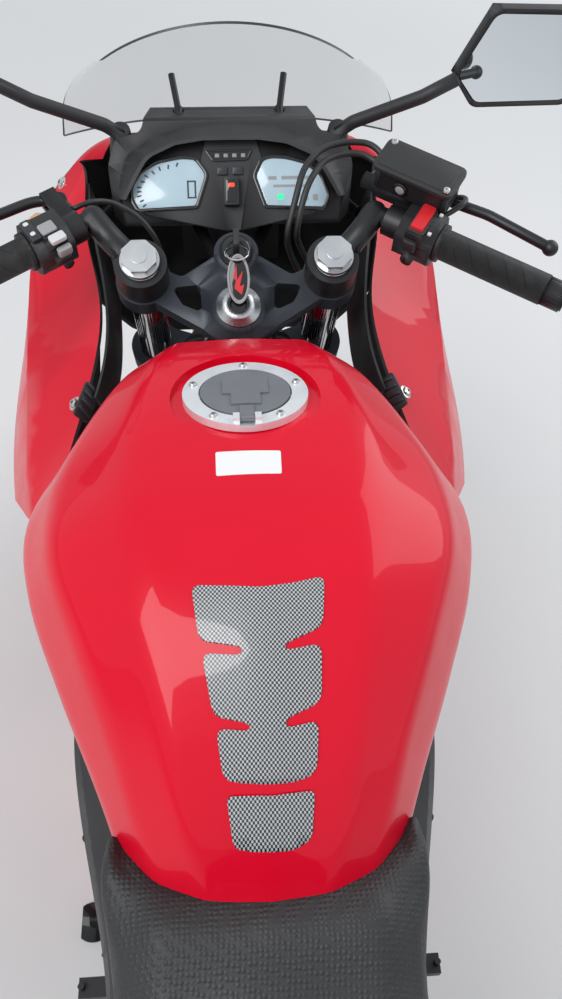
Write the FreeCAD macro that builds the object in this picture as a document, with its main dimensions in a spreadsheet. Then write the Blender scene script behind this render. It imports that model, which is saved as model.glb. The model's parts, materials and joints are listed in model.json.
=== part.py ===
import FreeCAD, Part
import math
import os
from FreeCAD import Placement, Rotation, Vector

# A full-faired sport bike with an in-line engine, leaning on its side stand.
# It is drawn upright: X forward, Y to the rider's left, Z up, with x = 0 midway between the axles
# and z = 0 on the ground. The parking lean is then the placement of every sub-part.

doc = FreeCAD.newDocument("sport_bike")
sheet = doc.addObject("Spreadsheet::Sheet", "sizes")

# alias, value in millimetres or degrees
SIZES = (
    ("wheelbase", 1450),
    ("front_tyre_radius", 300),
    ("front_tyre_half_width", 60),
    ("front_shoulder_drop", 38),
    ("rear_tyre_radius", 315),
    ("rear_tyre_half_width", 90),
    ("rear_shoulder_drop", 53),
    ("rim_radius", 216),
    ("front_rim_half_width", 44),
    ("rear_rim_half_width", 68),
    ("rim_wall", 5),
    ("front_hub_radius", 34),
    ("rear_hub_radius", 48),
    ("front_hub_half_width", 56),
    ("rear_hub_half_width", 62),
    ("spoke_width", 26),
    ("spoke_depth", 22),
    ("spoke_count", 6),
    ("rake_degrees", 25.5),
    ("fork_offset", 38),
    ("fork_spacing", 210),
    ("fork_tube_radius", 20.5),
    ("slider_radius", 27),
    ("axle_radius", 10),
    ("axle_bore_radius", 6.5),
    ("running_gap", 0.5),
    ("seat_gap", 0.3),
    ("front_disc_radius", 160),
    ("rear_disc_radius", 120),
    ("disc_thickness", 5),
    ("front_disc_offset", 64),
    ("rear_disc_offset", 84),
    ("rear_axle_height", 315),
    ("pivot_x", -150),
    ("pivot_z", 400),
    ("rear_sprocket_radius", 106),
    ("front_sprocket_radius", 38),
    ("front_sprocket_x", -52),
    ("sprocket_thickness", 6),
    ("chain_line", 108),
    ("chain_half_height", 8),
    ("panel_wall", 4),
    ("tank_cap_x", 180),
    ("tank_cap_z", 1020),
    ("tank_cap_tilt", 15),
    ("cap_ring_radius", 60),
    ("cap_ring_bore", 44.5),
    ("lid_radius", 43),
    ("bar_radius", 11),
    ("grip_radius", 17),
    ("grip_length", 122),
    ("hose_radius", 3.6),
    ("cable_radius", 3),
    ("exhaust_radius", 19),
    ("lean_degrees", 11),
    ("origin_back", 18.4),
    ("origin_left", 204.2),
)
for row, (alias, value) in enumerate(SIZES, start=1):
    sheet.set("A%d" % row, alias)
    sheet.set("B%d" % row, str(value))
    sheet.setAlias("B%d" % row, alias)
doc.recompute()


def size(alias):
    """The number that the sheet holds under this name."""
    return float(sheet.get(alias))


def sine(degrees):
    return math.sin(math.radians(degrees))


def cosine(degrees):
    return math.cos(math.radians(degrees))


WHEELBASE = size("wheelbase")
RAKE_SINE = sine(size("rake_degrees"))
RAKE_COSINE = cosine(size("rake_degrees"))
FRONT_RADIUS = size("front_tyre_radius")
REAR_RADIUS = size("rear_tyre_radius")
SEAT_GAP = size("seat_gap")
RUNNING_GAP = size("running_gap")
WALL = size("panel_wall")
FRONT_AXLE = Vector(WHEELBASE / 2, 0, FRONT_RADIUS)
REAR_AXLE = Vector(-WHEELBASE / 2, 0, size("rear_axle_height"))
PIVOT = Vector(size("pivot_x"), 0, size("pivot_z"))
ACROSS = Vector(0, 1, 0)

# The steering frame: its origin is the axis at the height of the rider's hands,
# "ahead" is square to the axis, "up" runs along it, so that the axle lies fork_offset ahead.
STEER_UP = Vector(-RAKE_SINE, 0, RAKE_COSINE)
STEER_AHEAD = Vector(RAKE_COSINE, 0, RAKE_SINE)
HAND_HEIGHT = 1000
AXLE_ON_AXIS = FRONT_AXLE - STEER_AHEAD * size("fork_offset")
STEER_ORIGIN = AXLE_ON_AXIS + STEER_UP * ((HAND_HEIGHT - AXLE_ON_AXIS.z) / RAKE_COSINE)
AXLE_DROP = (HAND_HEIGHT - AXLE_ON_AXIS.z) / RAKE_COSINE


def crown_radius(half_width, drop):
    """Radius of the arc across a tyre's tread, from its half width and how far the shoulder lies in."""
    return (half_width ** 2 + drop ** 2) / (2 * drop)


FRONT_CROWN = crown_radius(size("front_tyre_half_width"), size("front_shoulder_drop"))
REAR_CROWN = crown_radius(size("rear_tyre_half_width"), size("rear_shoulder_drop"))

# The bike leans about the line through the centres of the two crown arcs, so both tyres stay on the ground.
LEAN_AXIS = Vector(WHEELBASE, 0, FRONT_CROWN - REAR_CROWN)
LEAN = Placement(Vector(0, 0, 0), Rotation(LEAN_AXIS, -size("lean_degrees")),
                 Vector(WHEELBASE / 2, 0, FRONT_CROWN))
SHIFT = Placement(Vector(size("origin_back"), -size("origin_left"), 0), Rotation())
PARKED = SHIFT * LEAN

subparts = []


def node(label, shape):
    """A sub-part whose shape is made by the functions below, leaned into its parked place."""
    feature = doc.addObject("Part::Feature", label)
    feature.Label = label
    feature.Shape = shape
    feature.Placement = PARKED * feature.Placement
    subparts.append(feature)
    return feature


def tied_bar(start, run, radius):
    """A round bar along a run, its radius an expression on the sheet."""
    bar = doc.addObject("Part::Cylinder", "bar")
    bar.Height = run.Length
    bar.Placement = Placement(start, Rotation(Vector(0, 0, 1), run))
    bar.setExpression("Radius", radius)
    return bar


def tied_sleeve(start, end, radius, bore):
    """A bored bar between two points, both radii expressions on the sheet."""
    run = end - start
    reach = Vector(run).normalize()
    sleeve = doc.addObject("Part::Cut", "sleeve")
    sleeve.Base = tied_bar(start, run, radius)
    sleeve.Tool = tied_bar(start - reach, run + reach * 2, bore)
    return sleeve


def tied_whole(features):
    """Several bound features fused into one solid."""
    whole = doc.addObject("Part::MultiFuse", "whole")
    whole.Shapes = features
    whole.Refine = True
    return whole


def tied_twin(feature):
    """The same feature across the bike's middle."""
    twin = doc.addObject("Part::Mirroring", "twin")
    twin.Source = feature
    twin.Base = (0, 0, 0)
    twin.Normal = ACROSS
    return twin


def bound_node(label, features):
    """A sub-part that holds bound features, leaned into its parked place."""
    group = doc.addObject("Part::Compound", label)
    group.Label = label
    group.Links = features
    group.Placement = PARKED
    subparts.append(group)
    doc.recompute()
    return group


def point(x, y, z):
    return Vector(x, y, z)


def steer(ahead, across, up):
    """A point given in the steering frame."""
    return STEER_ORIGIN + STEER_AHEAD * ahead + ACROSS * across + STEER_UP * up


def cylinder(start, end, radius):
    run = end - start
    return Part.makeCylinder(radius, run.Length, start, run)


def ring(start, end, radius, bore):
    run = end - start
    reach = Vector(run).normalize() * 1
    return cylinder(start, end, radius).cut(cylinder(start - reach, end + reach, bore))


def cone(start, end, first, last):
    run = end - start
    return Part.makeCone(first, last, run.Length, start, run)


def box(low, high):
    return Part.makeBox(high[0] - low[0], high[1] - low[1], high[2] - low[2], Vector(*low))


def joined(shapes):
    shapes = list(shapes)
    whole = shapes[0]
    if len(shapes) > 1:
        whole = whole.fuse(shapes[1:])
    return whole.removeSplitter()


def mirrored(shape):
    return shape.mirror(Vector(0, 0, 0), ACROSS)


def pair(shape):
    """A left piece and its right twin, as solids that don't touch."""
    return Part.makeCompound([shape, mirrored(shape)])


def seat_point(shape, target, gap):
    """The point a gap short of a shape, on the shortest way to it from a target."""
    near = shape.distToShape(Part.Vertex(target))[1][0][0]
    return near + (target - near).normalize() * gap


def peg(start, shape, radius, gap=SEAT_GAP):
    """A round post from a point to just short of a shape's nearest spot."""
    return cylinder(start, seat_point(shape, start, gap), radius)


# A corner that turns by less than this, in radians, is left as it is.
STRAIGHT = 0.002


def rounded_edges(corners, radius, closed):
    """Straight runs joined by tangent arcs at the corners."""
    count = len(corners)
    inner = range(count) if closed else range(1, count - 1)
    cut = {}
    for index in inner:
        corner = corners[index]
        back = corners[index - 1] - corner
        ahead = corners[(index + 1) % count] - corner
        if math.pi - back.getAngle(ahead) < STRAIGHT:
            continue
        half = back.getAngle(ahead) / 2
        reach = min(radius / math.tan(half), 0.45 * back.Length, 0.45 * ahead.Length)
        back.normalize()
        ahead.normalize()
        middle = (back + ahead).normalize()
        bend = reach * math.tan(half)
        cut[index] = (corner + back * reach,
                      corner + middle * (bend / math.sin(half) - bend),
                      corner + ahead * reach)
    edges = []
    last = count if closed else count - 1
    for index in range(last):
        following = (index + 1) % count
        start = cut[index][2] if index in cut else corners[index]
        end = cut[following][0] if following in cut else corners[following]
        edges.append(Part.makeLine(start, end))
        if following in cut:
            edges.append(Part.Arc(*cut[following]).toShape())
    return edges


def tube(corners, radius, bend, bore=0):
    """A bent round bar, or a pipe where it has a bore."""
    path = Part.Wire(rounded_edges(corners, bend, False))
    run = corners[1] - corners[0]

    def swept(across):
        section = Part.Wire(Part.makeCircle(across, corners[0], run))
        return path.makePipeShell([section], True, False)

    outer = swept(radius)
    return outer.cut(swept(bore)) if bore else outer


def side_plate(outline, low, high, corner=6):
    """A plate with the outline drawn from the side, as thick as from low to high across the bike."""
    corners = [Vector(x, low, z) for x, z in outline]
    face = Part.Face(Part.Wire(rounded_edges(corners, corner, True)))
    return face.extrude(Vector(0, high - low, 0))


def steer_plate(outline, low, high, corner=6):
    """A plate square to the steering axis, its outline given as (ahead, across)."""
    corners = [steer(ahead, across, low) for ahead, across in outline]
    face = Part.Face(Part.Wire(rounded_edges(corners, corner, True)))
    return face.extrude(STEER_UP * (high - low))


def top_prism(outline, low, high, corner=4):
    """A prism with the outline drawn from above."""
    corners = [Vector(x, y, low) for x, y in outline]
    face = Part.Face(Part.Wire(rounded_edges(corners, corner, True)))
    return face.extrude(Vector(0, 0, high - low))


def turned(profile, centre):
    """A solid of revolution about the line across the bike; the profile is (across, radius)."""
    corners = [Vector(centre.x, across, centre.z + radius) for across, radius in profile]
    face = Part.Face(Part.makePolygon(corners + corners[:1]))
    return face.revolve(Vector(centre.x, 0, centre.z), ACROSS, 360)


def closed_section(x, half, corner):
    """A closed cross-section at one station: half is (across, height) from the top centre to the bottom."""
    left = [Vector(x, across, height) for across, height in half]
    right = [Vector(x, -across, height) for across, height in reversed(half) if across > 0]
    return Part.Wire(rounded_edges(left + right, corner, True))


def hull(stations, corner, ruled=False):
    """A solid through closed cross-sections with rounded corners; stations are (x, half section)."""
    return Part.makeLoft([closed_section(x, half, corner) for x, half in stations], True, ruled)


def inset(half, wall):
    """The half section moved in by a wall, towards its own inside."""
    moved = []
    last = len(half) - 1
    for index, (across, height) in enumerate(half):
        before = half[max(index - 1, 0)]
        after = half[min(index + 1, last)]
        run = Vector(after[0] - before[0], after[1] - before[1], 0).normalize()
        moved.append((max(across + run.y * wall, 0) if across > 0 else 0, height - run.x * wall))
    return moved


def strip_section(x, line, wall):
    """A closed thin strip: the line and its copy moved in by the wall."""
    inner = inset(line, wall)
    corners = [Vector(x, across, height) for across, height in line]
    corners += [Vector(x, across, height) for across, height in reversed(inner)]
    return Part.makePolygon(corners + corners[:1])


def strip_panel(stations, wall):
    """A thin curved panel lofted through strips along the bike."""
    return Part.makeLoft([strip_section(x, line, wall) for x, line in stations], True, False)


def oval_section(centre, run, half_across, half_height, share=0.6):
    """A rounded cross-section square to a run that lies nearly along the bike."""
    along = Vector(run).normalize()
    height = along.cross(ACROSS)
    if height.z < 0:
        height = height * -1
    side = height.cross(along).normalize()
    height = along.cross(side).normalize()
    corners = []
    for across_sign, height_sign in ((1, share), (share, 1), (-share, 1), (-1, share),
                                     (-1, -share), (-share, -1), (share, -1), (1, -share)):
        corners.append(centre + side * (across_sign * half_across) + height * (height_sign * half_height))
    return Part.makePolygon(corners + corners[:1])


def beam(stations, ruled=False):
    """A beam through oval sections; stations are (x, y, z, half width, half height)."""
    centres = [Vector(x, y, z) for x, y, z, _, _ in stations]
    wires = []
    last = len(centres) - 1
    for index, (_, _, _, half_across, half_height) in enumerate(stations):
        run = centres[min(index + 1, last)] - centres[max(index - 1, 0)]
        wires.append(oval_section(centres[index], run, half_across, half_height))
    return Part.makeLoft(wires, True, ruled)


# Wheels

FLANGE = 11


def tyre(label, centre, radius, half_width, drop, rim_half):
    """A tubeless tyre: round tread arc, bulged side walls and a bead on each rim flange."""
    rim = size("rim_radius")
    shoulder = radius - drop
    bead = rim_half - size("rim_wall") - SEAT_GAP
    left = Vector(0, half_width, shoulder)
    right = Vector(0, -half_width, shoulder)
    foot = rim + SEAT_GAP
    over = rim + FLANGE + SEAT_GAP
    bulge = (shoulder + over) / 2
    half_profile = [
        Part.Arc(left, Vector(0, half_width + 1, bulge + 6), Vector(0, bead, over)).toShape(),
        Part.makeLine(Vector(0, bead, over), Vector(0, bead, foot)),
        Part.makeLine(Vector(0, bead, foot), Vector(0, bead - 9, foot)),
        Part.makeLine(Vector(0, bead - 9, foot), Vector(0, bead - 8, over + 2)),
        Part.Arc(Vector(0, bead - 8, over + 2), Vector(0, half_width - 12, bulge + 6),
                 Vector(0, half_width - 22, shoulder + 2)).toShape(),
    ]
    edges = [Part.Arc(left, Vector(0, 0, radius), right).toShape()]
    edges += half_profile
    edges += [edge.mirror(Vector(0, 0, 0), ACROSS) for edge in half_profile]
    edges.append(Part.Arc(Vector(0, -half_width + 22, shoulder + 2), Vector(0, 0, radius - 11),
                          Vector(0, half_width - 22, shoulder + 2)).toShape())
    edges = Part.sortEdges(edges)[0]
    shape = Part.Face(Part.Wire(edges)).revolve(Vector(0, 0, 0), ACROSS, 360)
    if shape.Volume < 0:
        shape.reverse()
    shape.translate(centre)
    return node(label, shape)


def rim(label, centre, half_width, hub_radius, hub_half, lean_of_spokes):
    """A cast wheel: flanged barrel with a drop centre, a bored hub and split spokes."""
    wall = size("rim_wall")
    outer = size("rim_radius")
    barrel = turned((
        (-half_width, outer + FLANGE), (-half_width + wall, outer + FLANGE), (-half_width + wall, outer),
        (-half_width + 20, outer), (-half_width + 28, outer - 14), (half_width - 28, outer - 14),
        (half_width - 20, outer), (half_width - wall, outer), (half_width - wall, outer + FLANGE),
        (half_width, outer + FLANGE), (half_width, outer - wall), (half_width - 18, outer - wall - 2),
        (half_width - 28, outer - 14 - wall), (-half_width + 28, outer - 14 - wall),
        (-half_width + 18, outer - wall - 2), (-half_width, outer - wall),
    ), Vector(0, 0, 0))
    pieces = [barrel]
    bore = size("axle_radius") + RUNNING_GAP
    hub = turned((
        (-hub_half, bore), (-hub_half, hub_radius), (-hub_half + 12, hub_radius), (-hub_half + 20,
                                                                                   hub_radius - 8),
        (hub_half - 20, hub_radius - 8), (hub_half - 12, hub_radius), (hub_half, hub_radius), (hub_half,
                                                                                               bore),
    ), Vector(0, 0, 0))
    pieces.append(hub)
    count = int(size("spoke_count"))
    width = size("spoke_width")
    depth = size("spoke_depth")
    for index in range(count):
        angle = 360 * index / count
        inner = hub_radius - 12
        reach = outer - 14 - wall / 2
        foot = [Vector(-width * 0.75, depth, inner), Vector(width * 0.75, depth, inner),
                Vector(width * 0.75, -depth, inner), Vector(-width * 0.75, -depth, inner)]
        tip = [Vector(-width * 0.4 + lean_of_spokes, depth * 0.5, reach),
               Vector(width * 0.4 + lean_of_spokes, depth * 0.5, reach),
               Vector(width * 0.4 + lean_of_spokes, -depth * 0.5, reach),
               Vector(-width * 0.4 + lean_of_spokes, -depth * 0.5, reach)]
        spoke = Part.makeLoft([Part.makePolygon(foot + foot[:1]), Part.makePolygon(tip + tip[:1])], True,
                              True)
        spoke.rotate(Vector(0, 0, 0), ACROSS, angle)
        pieces.append(spoke)
    shape = joined(pieces)
    shape.translate(centre)
    return node(label, shape)


def brake_disc(radius, bore, offset, centre, carrier_radius):
    """A drilled brake disc on its spoked carrier."""
    half = size("disc_thickness") / 2
    low = Vector(centre.x, offset - half, centre.z)
    high = Vector(centre.x, offset + half, centre.z)
    disc = ring(low, high, radius, bore)
    holes = []
    for circle, count in ((bore + (radius - bore) * 0.3, 12), (bore + (radius - bore) * 0.7, 12)):
        for index in range(count):
            turn = 360 * (index + 0.5 * (circle > bore + (radius - bore) / 2)) / count
            place = Vector(centre.x + circle * cosine(turn), 0, centre.z + circle * sine(turn))
            holes.append(cylinder(place + ACROSS * (offset - half - 1),
                                  place + ACROSS * (offset + half + 1), 4))
    disc = disc.cut(holes)
    inner = ring(low, high, carrier_radius, size("axle_radius") + 12)
    arms = []
    for index in range(6):
        arm = box((carrier_radius - 5, offset - half, -9), (bore + 4, offset + half, 9))
        arm.rotate(Vector(0, 0, 0), ACROSS, 60 * index + 30)
        arm.translate(Vector(centre.x, 0, centre.z))
        arms.append(arm)
    return joined([disc, inner] + arms)


def front_wheel():
    tyre("front_tyre", FRONT_AXLE, FRONT_RADIUS, size("front_tyre_half_width"), size("front_shoulder_drop"),
         size("front_rim_half_width"))
    rim("front_rim", FRONT_AXLE, size("front_rim_half_width"), size("front_hub_radius"),
        size("front_hub_half_width"), 24)
    offset = size("front_disc_offset")
    disc = brake_disc(size("front_disc_radius"), 112, offset, FRONT_AXLE, 62)
    low = size("front_hub_half_width") + SEAT_GAP
    boss = ring(FRONT_AXLE + ACROSS * low, FRONT_AXLE + ACROSS * (offset + 2), 40, size("axle_radius") + 12)
    node("front_discs", pair(joined([disc, boss])))


def rear_wheel():
    tyre("rear_tyre", REAR_AXLE, REAR_RADIUS, size("rear_tyre_half_width"), size("rear_shoulder_drop"),
         size("rear_rim_half_width"))
    rim("rear_rim", REAR_AXLE, size("rear_rim_half_width"), size("rear_hub_radius"),
        size("rear_hub_half_width"), -24)
    offset = size("rear_disc_offset")
    disc = brake_disc(size("rear_disc_radius"), 78, -offset, REAR_AXLE, 52)
    low = size("rear_hub_half_width") + SEAT_GAP
    boss = ring(REAR_AXLE - ACROSS * low, REAR_AXLE - ACROSS * (offset + 2), 40, size("axle_radius") + 12)
    node("rear_disc", joined([disc, boss]))
    half = size("sprocket_thickness") / 2
    line = size("chain_line")
    centre = Vector(REAR_AXLE.x, 0, REAR_AXLE.z)
    root = size("rear_sprocket_radius") - 6
    tip = size("rear_sprocket_radius") + 4
    count = 42
    outline = []
    for index in range(count):
        for share, radius in ((0, root), (0.18, root), (0.42, tip), (0.62, tip), (0.85, root)):
            turn = 360 * (index + share) / count
            outline.append(Vector(radius * cosine(turn), line - half, radius * sine(turn)))
    plate = Part.Face(Part.makePolygon(outline + outline[:1])).extrude(ACROSS * (2 * half))
    plate.translate(centre)
    plate = plate.cut(cylinder(centre, centre + ACROSS * 200, size("axle_radius") + 14))
    windows = []
    for index in range(6):
        window = cylinder(Vector(68, line - 10, 0), Vector(68, line + 10, 0), 17)
        window.rotate(Vector(0, 0, 0), ACROSS, 60 * index)
        window.translate(centre)
        windows.append(window)
    hub = ring(REAR_AXLE + ACROSS * low, centre + ACROSS * (line + half), 42, size("axle_radius") + 14)
    node("rear_sprocket", joined([plate.cut(windows), hub]))


# Steering head, fork and handlebars

FORK_Y = size("fork_spacing") / 2
OFFSET = size("fork_offset")
TUBE = size("fork_tube_radius")
SLIDER = size("slider_radius")
BRIDGE_TOP = -28
BRIDGE_LOW = -46
LOWER_TOP = -212
LOWER_LOW = -242
STEM_RADIUS = 13
HEAD_TOP = BRIDGE_LOW - 5
HEAD_LOW = LOWER_TOP + 5
CAP_TOP = 26
CAP_FOOT = 12
SLIDER_TOP = -400


def fork():
    foot_of_tube = steer(OFFSET, FORK_Y, SLIDER_TOP + SEAT_GAP)
    tube_left = tied_bar(foot_of_tube, steer(OFFSET, FORK_Y, CAP_FOOT) - foot_of_tube,
                         "sizes.fork_tube_radius")
    bound_node("fork_tubes", [tube_left, tied_twin(tube_left)])
    cap = cylinder(steer(OFFSET, FORK_Y, CAP_FOOT + SEAT_GAP), steer(OFFSET, FORK_Y, CAP_FOOT + 5), TUBE + 1)
    facets = []
    for index in range(8):
        turn = 45 * index + 22.5
        facets.append((OFFSET + 20 * cosine(turn), FORK_Y + 20 * sine(turn)))
    nut = steer_plate(facets, CAP_FOOT + 5, CAP_TOP, 2)
    crown = cylinder(steer(OFFSET, FORK_Y, CAP_TOP - 4), steer(OFFSET, FORK_Y, CAP_TOP + 1), 9)
    node("fork_caps", pair(joined([cap, nut, crown])))
    foot = -AXLE_DROP
    slider = joined([
        cylinder(steer(OFFSET, FORK_Y, foot + 90), steer(OFFSET, FORK_Y, SLIDER_TOP), SLIDER),
        cylinder(steer(OFFSET, FORK_Y, SLIDER_TOP - 14), steer(OFFSET, FORK_Y, SLIDER_TOP), SLIDER + 3),
        cone(steer(OFFSET, FORK_Y, foot + 90), steer(OFFSET, FORK_Y, foot + 40), SLIDER, SLIDER - 5),
        cylinder(steer(OFFSET, FORK_Y, foot - 34), steer(OFFSET, FORK_Y, foot + 40), SLIDER - 5),
        cylinder(steer(OFFSET, FORK_Y - 26, foot), steer(OFFSET, FORK_Y + 23, foot), 20),
    ])
    hole = cylinder(steer(OFFSET, 0, foot), steer(OFFSET, 200, foot), size("axle_radius") + SEAT_GAP)
    node("fork_sliders", pair(slider.cut(hole)))
    reach = FORK_Y + 31
    axle = tied_sleeve(FRONT_AXLE - ACROSS * reach, FRONT_AXLE + ACROSS * reach, "sizes.axle_radius",
                       "sizes.axle_bore_radius")
    head = tied_sleeve(FRONT_AXLE + ACROSS * (FORK_Y + 23 + SEAT_GAP), FRONT_AXLE + ACROSS * reach,
                       "sizes.axle_radius + 5", "sizes.axle_bore_radius")
    spacer_low = size("front_disc_offset") + 2 + RUNNING_GAP
    spacer_high = FORK_Y - 26 - SEAT_GAP
    spacer = tied_sleeve(FRONT_AXLE + ACROSS * spacer_low, FRONT_AXLE + ACROSS * spacer_high,
                         "sizes.axle_radius + 6", "sizes.axle_radius - 1")
    bound_node("front_axle", [tied_whole([axle, head, spacer, tied_twin(spacer)])])


def bridges():
    bore = TUBE + SEAT_GAP
    outline = ((64, 26), (40, 62), (56, 96), (22, 112), (-24, 40), (-42, 14),
               (-42, -14), (-24, -40), (22, -112), (56, -96), (40, -62), (64, -26))
    plate = steer_plate(outline, BRIDGE_LOW, BRIDGE_TOP, 8)
    bosses = [plate]
    for side in (FORK_Y, -FORK_Y):
        bosses.append(cylinder(steer(OFFSET, side, BRIDGE_LOW - 6), steer(OFFSET, side, BRIDGE_TOP), 31))
    bosses.append(cylinder(steer(0, 0, BRIDGE_LOW), steer(0, 0, BRIDGE_TOP + 3), 31))
    bosses.append(cylinder(steer(66, 0, BRIDGE_LOW), steer(66, 0, BRIDGE_TOP + 6), 25))
    windows = []
    for side in (1, -1):
        quad = [(30, side * 42), (27, side * 74), (6, side * 62), (-4, side * 40)]
        windows.append(steer_plate(quad, BRIDGE_LOW - 10, BRIDGE_TOP + 10, 5))
        windows.append(cylinder(steer(OFFSET, side * FORK_Y, BRIDGE_LOW - 20),
                                steer(OFFSET, side * FORK_Y, BRIDGE_TOP + 20), bore))
    windows.append(cylinder(steer(0, 0, BRIDGE_LOW - 20), steer(0, 0, BRIDGE_TOP + 20),
                            STEM_RADIUS + SEAT_GAP))
    windows.append(cylinder(steer(66, 0, BRIDGE_LOW - 20), steer(66, 0, BRIDGE_TOP + 20), 16.3))
    node("top_bridge", joined(bosses).cut(windows))

    outline = ((40, 22), (60, 80), (62, 118), (14, 118), (-30, 24), (-30, -24),
               (14, -118), (62, -118), (60, -80), (40, -22))
    lower = [steer_plate(outline, LOWER_LOW, LOWER_TOP, 8)]
    for side in (FORK_Y, -FORK_Y):
        lower.append(cylinder(steer(OFFSET, side, LOWER_LOW - 8), steer(OFFSET, side, LOWER_TOP), 33))
    lower.append(cylinder(steer(0, 0, LOWER_LOW - 4), steer(0, 0, BRIDGE_TOP + 2), STEM_RADIUS))
    lower.append(cylinder(steer(0, 0, LOWER_TOP), steer(0, 0, HEAD_LOW - RUNNING_GAP), 24))
    holes = [cylinder(steer(OFFSET, side, LOWER_LOW - 20), steer(OFFSET, side, LOWER_TOP + 20), bore)
             for side in (FORK_Y, -FORK_Y)]
    node("lower_bridge", joined(lower).cut(holes))

    nut = joined([
        cylinder(steer(0, 0, BRIDGE_TOP + 3 + SEAT_GAP), steer(0, 0, BRIDGE_TOP + 7), 25),
        cylinder(steer(0, 0, BRIDGE_TOP + 7), steer(0, 0, BRIDGE_TOP + 12), 19),
    ])
    collar = ring(steer(0, 0, BRIDGE_LOW - SEAT_GAP), steer(0, 0, HEAD_TOP + RUNNING_GAP), 24,
                  STEM_RADIUS + 0.2)
    dimple = cylinder(steer(0, 0, BRIDGE_TOP + 8), steer(0, 0, BRIDGE_TOP + 13), 12)
    node("stem_nuts", Part.makeCompound([nut.cut(dimple), collar]))

    barrel = cylinder(steer(66, 0, BRIDGE_LOW - 22), steer(66, 0, BRIDGE_TOP + 12), 16)
    collar = cylinder(steer(66, 0, BRIDGE_TOP + 6 + SEAT_GAP), steer(66, 0, BRIDGE_TOP + 11), 19)
    slot = steer_plate([(64.5, -7), (67.5, -7), (67.5, 7), (64.5, 7)], BRIDGE_TOP + 4, BRIDGE_TOP + 20, 0.6)
    node("ignition_lock", joined([barrel, collar]).cut(slot))


ELBOW = point(430, 155, 1047)
BAR_RUN = Vector(-0.538, 0.835, -0.115).normalize()
GRIP_START = 80
BAR_END = GRIP_START + size("grip_length") + 4


def on_bar(distance):
    return ELBOW + BAR_RUN * distance


def handlebars():
    clamp_low = BRIDGE_TOP + SEAT_GAP
    clamp_high = 9
    clamp = cylinder(steer(OFFSET, FORK_Y, clamp_low), steer(OFFSET, FORK_Y, clamp_high), 29)
    lug = steer_plate([(52, 118), (70, 126), (62, 140), (40, 134)], clamp_low + 8, clamp_high - 6, 3)
    arm_foot = steer(OFFSET + 16, FORK_Y + 14, -6)
    arm = joined([tube([arm_foot, steer(OFFSET + 34, FORK_Y + 34, 6), ELBOW], 14, 26),
                  Part.makeSphere(14, ELBOW)])
    bar = cylinder(on_bar(0), on_bar(BAR_END + 4), size("bar_radius"))
    hole = cylinder(steer(OFFSET, FORK_Y, clamp_low - 20), steer(OFFSET, FORK_Y, clamp_high + 40),
                    TUBE + SEAT_GAP)
    radius = size("grip_radius")
    weight = cylinder(on_bar(BAR_END + SEAT_GAP), on_bar(BAR_END + 22), radius - 1)
    cap = cylinder(on_bar(BAR_END + 22), on_bar(BAR_END + 24), radius - 3)
    left = joined([clamp, lug, arm, bar, weight, cap]).cut(hole)
    node("handlebars", pair(left))
    inner = "sizes.bar_radius + sizes.seat_gap"
    grip = tied_sleeve(on_bar(GRIP_START), on_bar(BAR_END), "sizes.grip_radius", inner)
    flange = tied_sleeve(on_bar(GRIP_START), on_bar(GRIP_START + 5), "sizes.grip_radius + 4", inner)
    left_grip = tied_whole([grip, flange])
    bound_node("grips", [left_grip, tied_twin(left_grip)])


def bar_frame():
    """Placement on a bar: X along the bar outwards, Z up, Y towards the rider."""
    along = Vector(BAR_RUN.x, BAR_RUN.y, BAR_RUN.z)
    up = Vector(-0.25, 0, 1)
    rider = up.cross(along).normalize() * 1
    up = along.cross(rider).normalize()
    matrix = FreeCAD.Matrix(along.x, rider.x, up.x, ELBOW.x,
                            along.y, rider.y, up.y, ELBOW.y,
                            along.z, rider.z, up.z, ELBOW.z,
                            0, 0, 0, 1)
    return Placement(matrix)


def switchgear():
    place = bar_frame()
    inner = size("bar_radius") + SEAT_GAP
    start = GRIP_START - 44
    end = GRIP_START - 1
    corners = [Vector(start, y, z) for y,
               z in ((-22, -26), (-26, 0), (-20, 22), (8, 24), (26, 12), (26, -14), (10, -28))]
    pod = Part.Face(Part.Wire(rounded_edges(corners, 8, True))).extrude(Vector(end - start, 0, 0))
    bore = Part.makeCylinder(inner, 80, Vector(start - 20, 0, 0), Vector(1, 0, 0))
    pod = pod.cut(bore)
    horn = Part.makeCylinder(6, 5, Vector(start + 14, 25, -12), Vector(0, 1, 0))
    turn = box((start + 10, 25, -3), (start + 28, 33, 6))
    dip = box((start + 8, 14, 14), (start + 32, 26, 22))
    left = joined([pod, horn, turn, dip])
    left.Placement = place
    node("left_switchgear", left)
    kill = box((start + 12, 12, 12), (start + 30, 28, 26))
    starter = Part.makeCylinder(7, 6, Vector(start + 20, 24, -14), Vector(0, 1, 0))
    housing = Part.makeCylinder(27, 20, Vector(end - 22, 0, 0), Vector(1, 0, 0)).cut(bore)
    right = joined([pod, kill, starter, housing])
    right.Placement = place
    node("right_switchgear", mirrored(right))


def lever(reach):
    """A dog-leg lever blade with a ball end, in the bar's frame."""
    blade = tube([Vector(14, -44, 0), Vector(44, -58, 0), Vector(110, -66, -2), Vector(reach, -60, -4)], 6,
                 60)
    eye = Part.makeCylinder(9, 11, Vector(18, -42, -5.5), Vector(0, 0, 1))
    return joined([blade, eye, Part.makeSphere(9, Vector(reach, -60, -4))])


# The bolt through both hose unions at the inner end of the master cylinder.
UNION_X = -20
UNION_RADIUS = 9
# A bend larger than any run allows, so that a hose takes the widest arc at each of its points.
LOOSE = 400


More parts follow.
